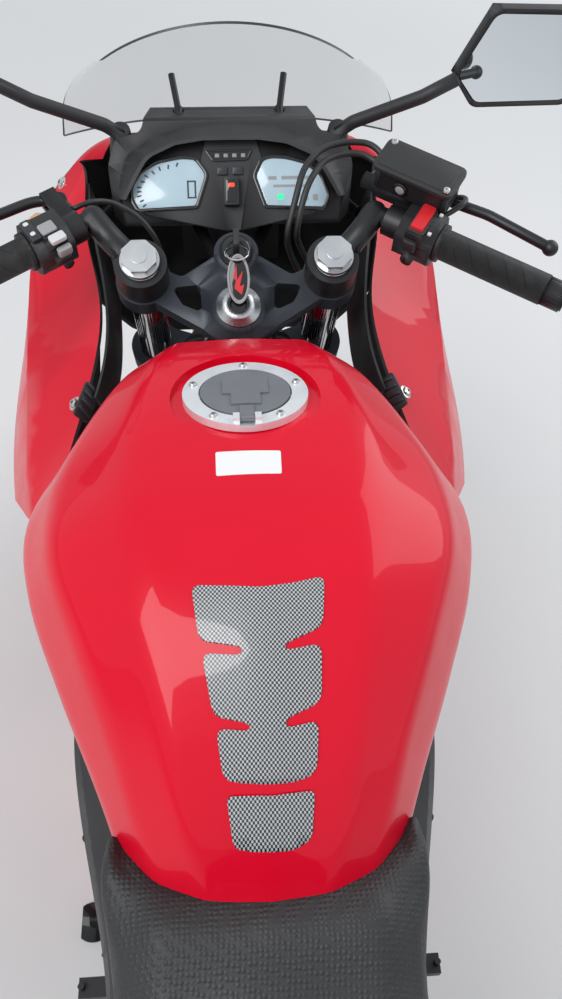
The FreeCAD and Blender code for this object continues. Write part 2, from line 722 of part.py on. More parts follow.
def levers():
    """The clutch perch, the brake master cylinder with its reservoir, and both levers in their jaws."""
    place = bar_frame()
    bar_hole = Part.makeCylinder(size("bar_radius") + SEAT_GAP, 90, Vector(-30, 0, 0), Vector(1, 0, 0))
    jaw = box((6, -56, -5.5 - RUNNING_GAP), (36, -31, 5.5 + RUNNING_GAP))
    clamp_end = GRIP_START - 44 - SEAT_GAP
    clamp = Part.makeCylinder(17, 20, Vector(clamp_end - 20, 0, 0), Vector(1, 0, 0))
    arm = box((16, -54, -11), (34, -8, 11))
    perch = joined([clamp, arm]).cut([bar_hole, jaw])
    perch.Placement = place
    node("clutch_perch", perch)
    cylinder_body = Part.makeCylinder(12, 66, Vector(-12, -30, 10), Vector(1, 0, 0))
    tank = box((-14, -56, 24), (74, -14, 50))
    tank = tank.makeFillet(8, [edge for edge in tank.Edges if abs(edge.BoundBox.ZLength - 26) < 0.01])
    neck = box((10, -44, 14), (40, -20, 26))
    union = Part.makeCylinder(UNION_RADIUS, 20, Vector(UNION_X - 10, -30, 10), Vector(1, 0, 0))
    master = joined([clamp, arm, cylinder_body, neck, tank, union]).cut([bar_hole, jaw])
    pod_clear = box((GRIP_START - 44 - SEAT_GAP, -30, -30), (GRIP_START + 10, 40, 23.5))
    master = master.cut(pod_clear)
    master.Placement = place
    node("brake_master", mirrored(master))
    left = lever(188)
    left.Placement = place
    node("levers", pair(left))


def bar_point(x, y, z, side):
    """A point of the bar's frame, on the left bar or its twin on the right."""
    left = bar_frame().multVec(Vector(x, y, z))
    return Vector(left.x, left.y * side, left.z)


def hoses():
    """Two brake hoses from the union bolt and the clutch cable, down to the front of the lower bridge."""
    eye = UNION_RADIUS + SEAT_GAP
    reach = LOWER_TOP + SEAT_GAP
    above = LOWER_TOP + 20
    brake_outer = [bar_point(UNION_X + 4, -30 - eye, 10, -1), point(487, -177, 1072), point(508, -160, 1086),
                   point(510, -132, 1088), point(500, -102, 1087), point(474, -78, 1079), point(446, -68,
                                                                                                1058),
                   steer(76, -56, -10), steer(74, -64, -48), steer(74, -76, -86), steer(72, -88, -124),
                   steer(72, -92, -164), steer(62, -91, above), steer(62, -91, reach)]
    brake_inner = [bar_point(UNION_X - 4, -30 - eye, 10, -1), point(488, -166, 1072), point(500, -148, 1079),
                   point(498, -124, 1080), point(484, -100, 1079), point(456, -82, 1070), point(434, -72,
                                                                                                1048),
                   steer(80, -68, -14), steer(82, -77, -50), steer(82, -90, -88), steer(80, -102, -126),
                   steer(76, -106, -166), steer(64, -107, above), steer(64, -107, reach)]
    clutch = [bar_point(15.6, -24, 0, 1), point(454, 161, 1053), point(468, 138, 1044), point(466, 110, 1026),
              point(458, 92, 1004), steer(82, 82, -80), steer(76, 92, -118), steer(74, 95, -160),
              steer(62, 91, above), steer(62, 91, reach)]
    hose = size("hose_radius")
    return Part.makeCompound([tube(brake_outer, hose, LOOSE), tube(brake_inner, hose, LOOSE),
                              tube(clutch, size("cable_radius"), LOOSE)])


def front_brake():
    """Calipers behind the fork legs, on lugs of the sliders."""
    offset = size("front_disc_offset")
    half = size("disc_thickness") / 2
    outer = FORK_Y - SLIDER - 1.5
    inner = offset - half - 14

    def polar(radius, turn):
        return (FRONT_AXLE.x + radius * cosine(turn), FRONT_AXLE.z + radius * sine(turn))

    outline = [polar(120, 134), polar(120, 160), polar(178, 160), polar(184, 147), polar(178, 134)]
    body = side_plate(outline, inner, outer, 8)
    slot = side_plate([polar(100, 120), polar(100, 175), polar(164, 175), polar(168, 147), polar(164, 120)],
                      offset - half - 1.2, offset + half + 1.2, 4)
    lug = side_plate([polar(140, 118), polar(140, 140), polar(170, 140), polar(170, 118)],
                     offset + half + 3, outer + 12, 4)
    slider = cylinder(steer(OFFSET, FORK_Y, -AXLE_DROP), steer(OFFSET, FORK_Y, SLIDER_TOP), SLIDER + SEAT_GAP)
    node("front_calipers", pair(joined([body.cut(slot), lug]).cut(slider)))


def front_fender():
    """A mudguard arched over the tyre, with cheeks that are held by the fork legs."""
    inner = FRONT_RADIUS + 9
    half = size("front_tyre_half_width") + 9
    profile = ((-half, inner - 52), (-half, inner - 26), (-half + 10, inner - 8), (-half + 34, inner),
               (half - 34, inner), (half - 10, inner - 8), (half, inner - 26), (half, inner - 52),
               (half - 3, inner - 52), (half - 3, inner - 27), (half - 12, inner - 11), (half - 35,
                                                                                         inner - 3),
               (-half + 35, inner - 3), (-half + 12, inner - 11), (-half + 3, inner - 27), (-half + 3,
                                                                                            inner - 52))
    corners = [Vector(0, across, radius + 3) for across, radius in profile]
    face = Part.Face(Part.makePolygon(corners + corners[:1]))
    arch = face.revolve(Vector(0, 0, 0), ACROSS, 128)
    arch.rotate(Vector(0, 0, 0), ACROSS, -72)
    arch.translate(FRONT_AXLE)
    cheek_outline = ((-96, 214), (-60, 300), (10, 300), (-10, 236), (-44, 176), (-84, 150))
    cheeks = []
    for side in (1, -1):
        low = half - 3 if side > 0 else -half
        outline = [(FRONT_AXLE.x + x, FRONT_AXLE.z + z) for x, z in cheek_outline]
        cheeks.append(side_plate(outline, low, low + 3, 14))
        pad_low = half - 1 if side > 0 else -(FORK_Y - SLIDER - SEAT_GAP)
        pad_high = FORK_Y - SLIDER - SEAT_GAP if side > 0 else -half + 1
        for reach in (192, 238):
            centre = FRONT_AXLE + STEER_UP * reach
            cheeks.append(cylinder(Vector(centre.x, pad_low, centre.z),
                                   Vector(centre.x, pad_high, centre.z), 9))
    node("front_fender", joined([arch] + cheeks))


# Frame, swingarm and running gear

SHOCK_LUG = ((-134, 660), (-90, 664), (-98, 622), (-127, 619))


TAIL_CROSS_RADIUS = 11


def main_frame(tank, rider_seat, pillion_seat):
    head = cylinder(steer(0, 0, HEAD_LOW), steer(0, 0, HEAD_TOP), 32)
    spar = beam((
        (428, 30, 876, 14, 44), (360, 88, 846, 17, 36), (250, 140, 800, 19, 34), (80, 168, 735, 20, 34),
        (-80, 158, 640, 18, 34), (-128, 143, 560, 13, 33), (-148, 137, 470, 11, 30),
    ))
    plate = side_plate(((-190, 560), (-110, 560), (-108, 470), (-105, 340), (-120, 290), (-185, 290),
                        (-205, 400)),
                       126, 148, 14)
    rail = tube([point(-150, 146, 530), point(-260, 120, 640), point(-480, 105, 735), point(-860, 82, 800)],
                13, 90)
    strut = tube([point(-170, 135, 450), point(-330, 112, 600), point(-560, 98, 756)], 11, 60)
    side = joined([spar, plate, rail, strut])
    crosses = [
        cylinder(point(-84, -156, 652), point(-84, 156, 652), 16),
        side_plate(SHOCK_LUG, -26, -14 - SEAT_GAP, 4),
        side_plate(SHOCK_LUG, 14 + SEAT_GAP, 26, 4),
        cylinder(point(-160, -140, 300), point(-160, 140, 300), 14),
        cylinder(point(-560, -100, 752), point(-560, 100, 752), 11),
        cylinder(point(-835, -86, 796), point(-835, 86, 796), TAIL_CROSS_RADIUS),
        box((-848, -12, 796), (-830.5, 12, 830 - SEAT_GAP)),
    ]
    for across in (-110, 110):
        crosses.append(peg(point(190, across, 812), tank, 9))
        crosses.append(peg(point(-60, across * 1.3, 660), tank, 9))
        crosses.append(peg(point(-400, across, 705), rider_seat, 8))
        crosses.append(peg(point(-640, across * 0.8, 770), pillion_seat, 8))
    stand_lug = side_plate(((-118, 330), (-60, 300), (-40, 262), (-62, 244), (-128, 280)), 128, 142, 8)
    whole = joined([head, side, mirrored(side), stand_lug] + crosses)
    bore = cylinder(steer(0, 0, HEAD_LOW - 10), steer(0, 0, HEAD_TOP + 10), STEM_RADIUS + RUNNING_GAP)
    pivot_bore = cylinder(Vector(PIVOT.x, -200, PIVOT.z), Vector(PIVOT.x, 200, PIVOT.z), 12 + SEAT_GAP)
    return whole.cut([bore, pivot_bore])


def bank_point(up, ahead, across=0):
    """A point on the cylinder bank, which leans forward by 30 degrees from the crankcase."""
    lean = 30
    return Vector(150 + up * sine(lean) + ahead * cosine(lean), across,
                  470 + up * cosine(lean) - ahead * sine(lean))


def bank_block(low, high, back, front, half):
    corners = [bank_point(low, back, -half), bank_point(low, front, -half),
               bank_point(high, front, -half), bank_point(high, back, -half)]
    face = Part.Face(Part.makePolygon(corners + corners[:1]))
    return face.extrude(Vector(0, 2 * half, 0))


def engine():
    case = side_plate(((245, 262), (262, 330), (262, 440), (180, 500), (-30, 500), (-100, 462), (-100, 330),
                       (-70, 262), (-20, 215), (160, 215)), -122, 122, 22)
    wide = side_plate(((240, 280), (256, 340), (256, 440), (170, 492), (-20, 470), (-60, 400), (-40, 300),
                       (60, 262)),
                      -150, 150, 20)
    block = bank_block(-30, 140, -64, 64, 150)
    head = bank_block(140, 205, -72, 72, 158)
    cover = bank_block(205, 240, -52, 56, 150)
    ribs = [bank_block(low, low + 6, -68, 68, 153) for low in (40, 70, 100)]
    ports = [cylinder(bank_point(172, 60, y), bank_point(172, 84, y), 26) for y in PORTS]
    whole = joined([case, wide, block, head, cover] + ribs + ports)
    filter_boss = cylinder(point(258, -40, 340), point(290, -40, 332), 34)
    whole = joined([whole, filter_boss])
    bay = side_plate(SPROCKET_BAY, 92, 200, 14)
    collector_room = cone(COLLECTOR[0], COLLECTOR[1], 48, 36)
    whole = whole.cut([bay, collector_room] + header_pipes(size("exhaust_radius") + 1.5))
    shaft_x = size("front_sprocket_x")
    shaft = cylinder(point(shaft_x, 90, PIVOT.z), point(shaft_x, size("chain_line") + 8, PIVOT.z), 13)
    gear = cylinder(point(shaft_x, size("chain_line") - 3, PIVOT.z),
                    point(shaft_x, size("chain_line") + 3, PIVOT.z), 30)
    return joined([whole, shaft, gear])


SPROCKET_BAY = ((-140, 474), (16, 474), (56, 424), (44, 326), (-40, 306), (-140, 306))


PORTS = (-129, -43, 43, 129)


def engine_covers(block):
    right = joined([
        cylinder(point(46, -150 - SEAT_GAP, 372), point(46, -190, 372), 84),
        cone(point(46, -190, 372), point(46, -206, 372), 78, 56),
    ])
    left = joined([
        cylinder(point(150, 150 + SEAT_GAP, 380), point(150, 174, 380), 82),
        cone(point(150, 174, 380), point(150, 186, 380), 76, 56),
    ])
    pulse = cylinder(point(188, -150 - SEAT_GAP, 404), point(188, -172, 404), 50)
    sprocket = side_plate(((-98, 462), (10, 472), (54, 424), (42, 328), (-40, 308), (-98, 340)),
                          122 + SEAT_GAP, 148, 14)
    screws = [peg(point(x, 130, z), block, 7) for x, z in ((42, 375), (-20, 461), (0, 328))]
    return right, left, pulse, joined([sprocket] + screws)


def header_pipes(radius):
    """Four pipes from the head's ports, swept down and to the right in front of the crankcase."""
    pipes = []
    for index, y in enumerate(PORTS):
        start = bank_point(172, 84 + SEAT_GAP, y)
        low_y = y * 0.62 - 20
        end_y = -130 + 24 * index
        pipes.append(tube([
            start, bank_point(168, 118, y), point(352, y * 0.95, 470), point(330, y * 0.8, 300),
            point(262, low_y, 176), point(120, low_y * 0.6 + end_y * 0.4, 172), point(20, end_y, 178),
            point(-40, -92 + (end_y + 94) * 0.35, 184),
        ], radius, 70))
    return pipes


COLLECTOR = (point(-10, -92, 181), point(-70, -100, 190))
SLIP_RADIUS = 30


def exhaust():
    start, end = COLLECTOR
    run = (end - start).normalize()
    slip = cylinder(end - run * 2, end + run * 24, SLIP_RADIUS)
    return joined(header_pipes(size("exhaust_radius")) + [cone(start, end, 46, 34), slip])


def muffler():
    body = beam(((-76, -101, 191, 36, 36), (-110, -108, 196, 58, 46), (-240, -132, 214, 62, 52),
                 (-320, -146, 226, 56, 46)), True)
    tip = ring(point(-318, -146, 226), point(-348, -150, 232), 26, 21)
    start, end = COLLECTOR
    run = (end - start).normalize()
    slip = cylinder(start, end + run * 24.3, SLIP_RADIUS + SEAT_GAP)
    cone_clear = cylinder(start, end + run * SEAT_GAP, 80)
    hanger = side_plate(((-186, 250), (-164, 250), (-152, 286 - SEAT_GAP), (-176, 286 - SEAT_GAP)), -136,
                        -128, 2)
    return joined([body, tip, hanger]).cut([slip, cone_clear])


def swingarm():
    """Two box arms joined ahead of the tyre, on a pivot tube between the frame's plates."""
    arm = beam((
        (-222, 100, 396, 22, 32), (-290, 132, 388, 17, 34), (-480, 140, 352, 14, 28),
        (-660, 142, 322, 13, 24), (-775, 142, 306, 12, 21),
    ))
    pivot = cylinder(Vector(PIVOT.x, -126 + SEAT_GAP, PIVOT.z), Vector(PIVOT.x, 126 - SEAT_GAP, PIVOT.z), 26)
    lead = beam(((-150, 88, 400, 20, 24), (-190, 92, 398, 21, 28), (-226, 101, 396, 22, 32)), True)
    brace = beam(((-236, 0, 402, 112, 20), (-290, 0, 398, 112, 26), (-345, 0, 392, 112, 18)), True)
    bobbins = cylinder(point(-650, 150, 296), point(-650, 172, 296), 12)
    left = joined([arm, lead, bobbins])
    whole = joined([left, mirrored(left), pivot, brace])
    axle_slot = side_plate(((REAR_AXLE.x - 16, REAR_AXLE.z - size("axle_radius") - SEAT_GAP),
                            (REAR_AXLE.x + 26, REAR_AXLE.z - size("axle_radius") - SEAT_GAP),
                            (REAR_AXLE.x + 26, REAR_AXLE.z + size("axle_radius") + SEAT_GAP),
                            (REAR_AXLE.x - 16, REAR_AXLE.z + size("axle_radius") + SEAT_GAP)), -200, 200, 9)
    pivot_bore = cylinder(Vector(PIVOT.x, -200, PIVOT.z), Vector(PIVOT.x, 200, PIVOT.z), 12 + SEAT_GAP)
    stand_bore = cylinder(point(-650, -200, 296), point(-650, -148, 296), 4)
    stand_bore_left = cylinder(point(-650, 148, 296), point(-650, 200, 296), 4)
    corridor = chain_loop(size("chain_half_height") + 5).cut(chain_loop(-size("chain_half_height") - 5))
    corridor = corridor.extrude(ACROSS * 26)
    corridor.translate(ACROSS * (size("chain_line") - 13))
    inside = box((-800, 100, 260), (-692, 129.4, 350))
    outside = box((-800, 154.8, 260), (-692, 190, 350))
    flats = [inside, outside, mirrored(inside), mirrored(outside)]
    return whole.cut([axle_slot, pivot_bore, stand_bore, stand_bore_left, corridor] + flats)


def rear_axle():
    """The axle with its two heads and the spacers that hold the wheel's place."""
    reach = 165
    foot = 155.2
    arm = 129
    bore = "sizes.axle_bore_radius"
    spacer_bore = "sizes.axle_radius - 1"
    axle = tied_sleeve(REAR_AXLE - ACROSS * reach, REAR_AXLE + ACROSS * reach, "sizes.axle_radius", bore)
    head = tied_sleeve(REAR_AXLE + ACROSS * foot, REAR_AXLE + ACROSS * reach, "sizes.axle_radius + 6", bore)
    left_low = size("chain_line") + size("sprocket_thickness") / 2 + RUNNING_GAP
    left = tied_sleeve(REAR_AXLE + ACROSS * left_low, REAR_AXLE + ACROSS * arm, "sizes.axle_radius + 7",
                       spacer_bore)
    right_low = size("rear_disc_offset") + 2 + RUNNING_GAP
    right = tied_sleeve(REAR_AXLE - ACROSS * right_low, REAR_AXLE - ACROSS * arm, "sizes.axle_radius + 7",
                        spacer_bore)
    bound_node("rear_axle", [tied_whole([axle, head, tied_twin(head), left, right])])


def chain_tangent(sign):
    """Direction from either sprocket's centre to where the straight run leaves it."""
    run = front_sprocket_centre() - REAR_AXLE
    slope = math.asin((size("rear_sprocket_radius") - size("front_sprocket_radius")) / run.Length)
    along = Vector(run).normalize()
    square = Vector(-along.z, 0, along.x)
    return along * math.sin(slope) + square * (sign * math.cos(slope))


def front_sprocket_centre():
    return Vector(size("front_sprocket_x"), 0, PIVOT.z)


def chain_loop(grow):
    """The chain's path as a face, grown or shrunk from the pitch line."""
    rear = size("rear_sprocket_radius") + grow
    front = size("front_sprocket_radius") + grow
    centre = front_sprocket_centre()
    along = (centre - REAR_AXLE).normalize()
    up = chain_tangent(1)
    down = chain_tangent(-1)
    edges = [
        Part.makeLine(REAR_AXLE + up * rear, centre + up * front),
        Part.Arc(centre + up * front, centre + along * front, centre + down * front).toShape(),
        Part.makeLine(centre + down * front, REAR_AXLE + down * rear),
        Part.Arc(REAR_AXLE + down * rear, REAR_AXLE - along * rear, REAR_AXLE + up * rear).toShape(),
    ]
    return Part.Face(Part.Wire(edges))


def chain():
    """The chain's two lines of link plates, pinned together clear of the sprockets' teeth."""
    line = size("chain_line")
    rear = size("rear_sprocket_radius")
    front = size("front_sprocket_radius")
    front_centre = front_sprocket_centre()
    half = size("chain_half_height")
    band = chain_loop(half).cut(chain_loop(-half))
    plates = []
    for low in (5, -7.5):
        plate = band.extrude(Vector(0, 2.5, 0))
        plate.translate(ACROSS * (line + low))
        plates.append(plate)
    pins = []
    pitch = 15.875
    for sign in (1, -1):
        direction = chain_tangent(sign)
        start = REAR_AXLE + direction * rear
        end = front_centre + direction * front
        length = (end - start).Length
        step = Vector(end - start).normalize()
        clear = 46
        count = int((length - 2 * clear) / pitch)
        for index in range(count + 1):
            place = start + step * (clear + index * pitch)
            pins.append(cylinder(place + ACROSS * (line - 5), place + ACROSS * (line + 5), 5))
    return joined(plates + pins)


# Tank, seat and bodywork

TANK = (
    (300, ((0, 984), (70, 980), (96, 960), (108, 925), (100, 880), (84, 852), (0, 852))),
    (255, ((0, 1004), (88, 1000), (128, 970), (146, 925), (138, 868), (112, 835), (0, 835))),
    (180, ((0, 1022), (102, 1016), (162, 972), (192, 918), (186, 850), (150, 815), (0, 815))),
    (110, ((0, 1030), (106, 1024), (180, 976), (222, 912), (214, 836), (176, 796), (0, 796))),
    (30, ((0, 1032), (104, 1026), (178, 982), (212, 905), (200, 820), (172, 778), (0, 778))),
    (-50, ((0, 1018), (92, 1010), (152, 966), (182, 885), (176, 800), (158, 762), (0, 762))),
    (-130, ((0, 972), (78, 962), (122, 920), (147, 850), (146, 780), (138, 748), (0, 748))),
    (-190, ((0, 916), (66, 906), (102, 868), (122, 818), (126, 762), (120, 738), (0, 738))),
    (-240, ((0, 846), (48, 838), (78, 812), (98, 780), (106, 750), (100, 736), (0, 736))),
)
CAP_CENTRE = Vector(size("tank_cap_x"), 0, size("tank_cap_z"))
CAP_UP = Vector(sine(size("tank_cap_tilt")), 0, cosine(size("tank_cap_tilt")))
CAP_AHEAD = Vector(cosine(size("tank_cap_tilt")), 0, -sine(size("tank_cap_tilt")))


def on_cap(ahead, across, up):
    return CAP_CENTRE + CAP_AHEAD * ahead + ACROSS * across + CAP_UP * up


TANK_CORNER = 26
SEAT_CORNER = 12
NOSE_CORNER = 30


def fuel_tank():
    body = hull(TANK, TANK_CORNER)
    land = cylinder(on_cap(0, 0, -30), on_cap(0, 0, -6), size("cap_ring_radius") + 12)
    clear = cylinder(on_cap(0, 0, -6), on_cap(0, 0, 60), size("cap_ring_radius") + 12)
    throat = cylinder(on_cap(0, 0, -34), on_cap(0, 0, 10), 30)
    body = body.fuse(land).cut([clear, throat])
    return body.removeSplitter()


def fuel_cap():
    low = -6 + SEAT_GAP
    outer = ring(on_cap(0, 0, low), on_cap(0, 0, 2), size("cap_ring_radius"), size("cap_ring_bore"))
    floor = ring(on_cap(0, 0, low), on_cap(0, 0, low + 2), size("cap_ring_bore") + 4, 31)
    ears = []
    for side in (1, -1):
        ears.append(box((-56, side * 10 - 3, -1), (-46, side * 10 + 3, 7)))
    place = cap_place()
    for ear in ears:
        ear.Placement = place
    lid = cylinder(on_cap(0, 0, low + 2.6), on_cap(0, 0, 3), size("lid_radius"))
    tab = box((-54, -6.6, 2), (-30, 6.6, 5.4))
    tab.Placement = place
    barrel = Part.makeCylinder(2.2, 13.2, Vector(0, 0, 0), Vector(0, 1, 0))
    barrel.Placement = place * Placement(Vector(-51, -6.6, 4), Rotation())
    cheeks = joined([outer, floor] + ears)
    relief = box((-60, -7, 0.2), (-42, 7, 12))
    relief.Placement = place
    cheeks = cheeks.cut(relief)
    flap = side_flap()
    return cheeks, joined([lid, tab, barrel, flap])


def cap_place():
    matrix = FreeCAD.Matrix(CAP_AHEAD.x, 0, CAP_UP.x, CAP_CENTRE.x,
                            0, 1, 0, 0,
                            CAP_AHEAD.z, 0, CAP_UP.z, CAP_CENTRE.z,
                            0, 0, 0, 1)
    return Placement(matrix)


def side_flap():
    """The cover over the lock, raised on the lid."""
    shape = box((-6, -22, 2), (20, 22, 4.6)).fuse(box((-26, -14, 2), (-6, 14, 4.6)))
    shape.Placement = cap_place()
    return shape


SEAT = (
    (-196, ((0, 760), (112, 764), (134, 800), (140, 790), (126, 744), (0, 744))),
    (-262, ((0, 838), (90, 832), (128, 806), (134, 782), (122, 742), (0, 742))),
    (-340, ((0, 820), (92, 818), (132, 796), (138, 776), (122, 744), (0, 744))),
    (-440, ((0, 820), (92, 820), (130, 800), (134, 780), (114, 752), (0, 752))),
    (-520, ((0, 842), (88, 842), (116, 824), (118, 804), (100, 768), (0, 768))),
)


PILLION = (
    (-528, ((0, 884), (78, 882), (104, 866), (108, 850), (96, 806), (0, 806))),
    (-640, ((0, 902), (84, 899), (110, 882), (112, 864), (98, 820), (0, 820))),
    (-760, ((0, 908), (72, 905), (92, 890), (94, 872), (80, 836), (0, 836))),
    (-822, ((0, 900), (50, 898), (66, 886), (68, 874), (56, 846), (0, 846))),
)


def grown(stations, gap):
    """The same stations with every cross-section grown by a gap."""
    return hull([(x, inset(half, -gap)) for x, half in stations], SEAT_CORNER)


def tail_cowl(frame):
    line_stations = (
        (-420, ((142, 770), (152, 756), (152, 730), (142, 704))),
        (-540, ((126, 834), (142, 812), (148, 764), (136, 728))),
        (-680, ((112, 862), (128, 842), (134, 800), (118, 764))),
        (-800, ((90, 884), (108, 866), (112, 832), (96, 802))),
    )
    side = strip_panel(line_stations, WALL)
    pegs = [peg(point(x, y, z), frame, 6) for x, y, z in ((-500, 146, 752), (-740, 122, 806))]
    return joined([side.cut([grown(SEAT[1:], RUNNING_GAP), grown(PILLION, RUNNING_GAP)])] + pegs)


COWL = (
    (640, ((196, 992), (232, 952), (236, 900), (212, 780), (176, 706))),
    (560, ((184, 970), (254, 925), (262, 868), (240, 700), (196, 580))),
    (470, ((170, 950), (260, 885), (280, 815), (262, 600), (208, 430))),
    (380, ((160, 936), (258, 852), (288, 778), (268, 530), (196, 290))),
    (290, ((176, 905), (252, 838), (282, 762), (260, 500), (182, 196))),
    (200, ((200, 872), (242, 820), (266, 745), (244, 480), (168, 152))),
    (90, ((205, 842), (226, 800), (240, 722), (222, 455), (156, 142))),
    (-60, ((170, 800), (190, 760), (204, 690), (196, 430), (138, 142))),
)
COWL_OUTLINE = ((230, 960), (640, 1030), (640, 760), (566, 640), (520, 520), (470, 400), (452, 300),
                (420, 200),
                (330, 142), (-60, 130), (-58, 210), (70, 262), (170, 360), (270, 470), (330, 620), (300, 740),
                (214, 800), (170, 838), (196, 900))


def side_cowl():
    skin = strip_panel(COWL, WALL)
    outline = side_plate(COWL_OUTLINE, 100, 330, 16)
    return skin.common(outline)


NOSE = (
    (642, ((0, 1000), (196, 992), (232, 952), (236, 900), (212, 780), (150, 706), (0, 706))),
    (700, ((0, 1006), (160, 992), (196, 944), (204, 886), (184, 790), (124, 722), (0, 722))),
    (765, ((0, 962), (104, 948), (140, 908), (148, 864), (130, 800), (84, 748), (0, 748))),
    (822, ((0, 872), (34, 866), (52, 850), (56, 832), (46, 808), (28, 790), (0, 790))),
)


NOSE_OPEN = 10
NOSE_TIP = 14


def nose_cowl():
    outer = hull(NOSE, NOSE_CORNER)
    inner = nose_inside(WALL)
    shell = outer.cut(inner)
    opening = top_prism(((600, -176), (700, -146), (728, 0), (700, 146), (600, 176)), 930, 1100, 10)
    lamp = headlamp_prism(0)
    return shell.cut([opening, lamp]), outer, inner


def nose_inside(wall):
    """The nose's hollow, open to the back and closed a little behind its tip."""
    moved = []
    for x, half in NOSE:
        back = NOSE_OPEN if x == NOSE[0][0] else 0
        tip = NOSE_TIP if x == NOSE[-1][0] else 0
        moved.append((x - back - tip, inset(half, wall)))
    return hull(moved, NOSE_CORNER)


def headlamp_prism(gap):
    """The lamp's outline seen from the front."""
    outline = ((0, 892), (70, 902), (128, 890), (112, 846), (62, 806), (0, 790))
    grown = []
    for across, height in outline:
        grown.append(Vector(700, max(across - gap, 0) if across else 0,
                            height - gap * (1 if height > 850 else -1)))
    corners = grown + [Vector(v.x, -v.y, v.z) for v in reversed(grown) if v.y > 0]
    face = Part.Face(Part.makePolygon(corners + corners[:1]))
    return face.extrude(Vector(200, 0, 0))


def windscreen():
    """A clear screen: arcs from side to side at four levels, thickened to the wall of the sheet."""
    levels = (
        (point(738, 0, 1000), point(628, 206, 1034)),
        (point(706, 0, 1052), point(628, 203, 1058)),
        (point(662, 0, 1112), point(634, 196, 1082)),
        (point(602, 0, 1180), point(640, 168, 1106)),
    )
    arcs = [Part.Wire([Part.Arc(side, centre, Vector(side.x, -side.y, side.z)).toShape()])
            for centre, side in levels]
    return Part.makeLoft(arcs, False, False).makeOffsetShape(3, 0.01, fill=True)


# The dash's sloping face: its lower and upper edge, and the ways up along it and out of it.
FACE_LOW = (548, 1004)
FACE_HIGH = (606, 1066)
FACE_UP = Vector(FACE_HIGH[0] - FACE_LOW[0], 0, FACE_HIGH[1] - FACE_LOW[1]).normalize()
FACE_OUT = Vector(-FACE_UP.z, 0, FACE_UP.x)


def on_face(up, across, out):
    """A point on the dash's face."""
    return point(FACE_LOW[0], across, FACE_LOW[1]) + FACE_UP * up + FACE_OUT * out


def arch(half, out, wall):
    """A thin arch about the gauges; half is (up, across) from its left foot to its top."""
    whole = list(half) + [(up, -across) for up, across in reversed(half[:-1])]
    outer = [on_face(up, across, out) for up, across in whole]
    centre = on_face(0, 0, out)
    inner = [edge - (edge - centre).normalize() * wall for edge in outer]
    return Part.Wire(rounded_edges(outer + inner[::-1], 30, True))


BROW_FOOT = ((-8, 139), (20, 138), (46, 130), (67, 97), (80, 53), (84, 0))
BROW_LIP = ((-14, 132), (12, 118), (35, 104), (51, 70), (57, 36), (58, 0))
BROW_DEPTH = 26
BROW_ROOT = -4


def cockpit():
    """The dash and the arched brow that shades its gauges."""
    dash = side_plate(((530, 962), FACE_LOW, FACE_HIGH, (650, 1058), (668, 1004), (640, 960)), -150, 150, 8)
    limit = top_prism(((500, -70), (530, -128), (566, -150), (590, -140), (596, -106), (664, -94), (674, 0),
                       (664, 94), (596, 106), (590, 140), (566, 150), (530, 128), (500, 70)), 900, 1100, 12)
    room = screen_hook(HOOK_RADIUS + 2)
    brow = Part.makeLoft([arch(BROW_FOOT, BROW_ROOT, WALL + 1), arch(BROW_LIP, BROW_DEPTH, WALL + 1)], True,
                         True)
    return joined([dash.common(limit), brow]).cut([room, mirrored(room)])


STAY_X = 628
HOOK_RADIUS = 5


def screen_hook(radius):
    """Rod that rises through the dash to the foot of the screen."""
    return tube([point(STAY_X, 62, 940), point(STAY_X - 16, 62, 1010), point(STAY_X - 10, 62, 1050),
                 point(STAY_X + 8, 62, 1064)], radius, 12)


def cowl_stay(mirror_shape, screen, housing, cowls):
    """Steel stay from the steering head that carries the instruments, mirrors, screen, lamp and cowls."""
    head = joined([tube([point(431, side * 15, 890), point(520, side * 20, 925),
                         point(STAY_X, side * 62, 940)], 8, 60)
                   for side in (1, -1)])
    seat = box((STAY_X - 14, -60, 940), (STAY_X + 14, 60, 960 - SEAT_GAP))
    bar = cylinder(point(STAY_X, 0, 940), point(STAY_X, 150, 940), 8)
    cowl_arm = peg(point(STAY_X, 150, 940), cowls, 8)
    post_top = point(STAY_X, 134, 998)
    post = joined([cylinder(point(STAY_X, 134, 940), post_top, 9), peg(post_top, mirror_shape, 6)])
    lamp_arm = peg(point(STAY_X, 40, 940), housing, 7)
    tip = peg(point(STAY_X + 4, 62, 1062), screen, HOOK_RADIUS - 1, 2 * SEAT_GAP)
    side = joined([bar, cowl_arm, post, lamp_arm, screen_hook(HOOK_RADIUS), tip])
    stem_clear = cylinder(steer(0, 0, HEAD_LOW - 10), steer(0, 0, HEAD_TOP + 10), 32 + SEAT_GAP)
    return joined([head, seat, side, mirrored(side)]).cut(stem_clear)


POD = ((-48, 10), (-38, 57), (-28, 104), (-8, 126), (14, 124), (38, 108), (56, 72), (63, 30))
POD_THICKNESS = 9


def instruments():
    """The gauge pod on the sloping face of the dash, under the brow."""
    corners = [on_face(up, across, SEAT_GAP) for up, across in POD]
    corners += [on_face(up, -across, SEAT_GAP) for up, across in reversed(POD)]
    face = Part.Face(Part.Wire(rounded_edges(corners, 14, True)))
    return face.extrude(FACE_OUT * POD_THICKNESS)


def inner_panels():
    """Black liners down from the inner edge of each side cowl."""
    stations = (
        (600, ((182, 984), (174, 950), (165, 900), (160, 850))),
        (470, ((163, 948), (159, 920), (155, 880), (152, 830))),
        (380, ((153, 934), (152, 910), (151, 880), (150, 846))),
        (296, ((166, 906), (162, 896), (159, 886), (157, 878))),
    )
    return strip_panel(stations, 3)


def headlamp(outer, inner):
    """A clear lens flush with the nose, with a housing behind it."""
    lens = outer.cut(inner).common(headlamp_prism(0.6))
    housing = box((690, -70, 800), (806, 70, 885)).common(nose_inside(WALL + 2 * SEAT_GAP))
    return lens, housing


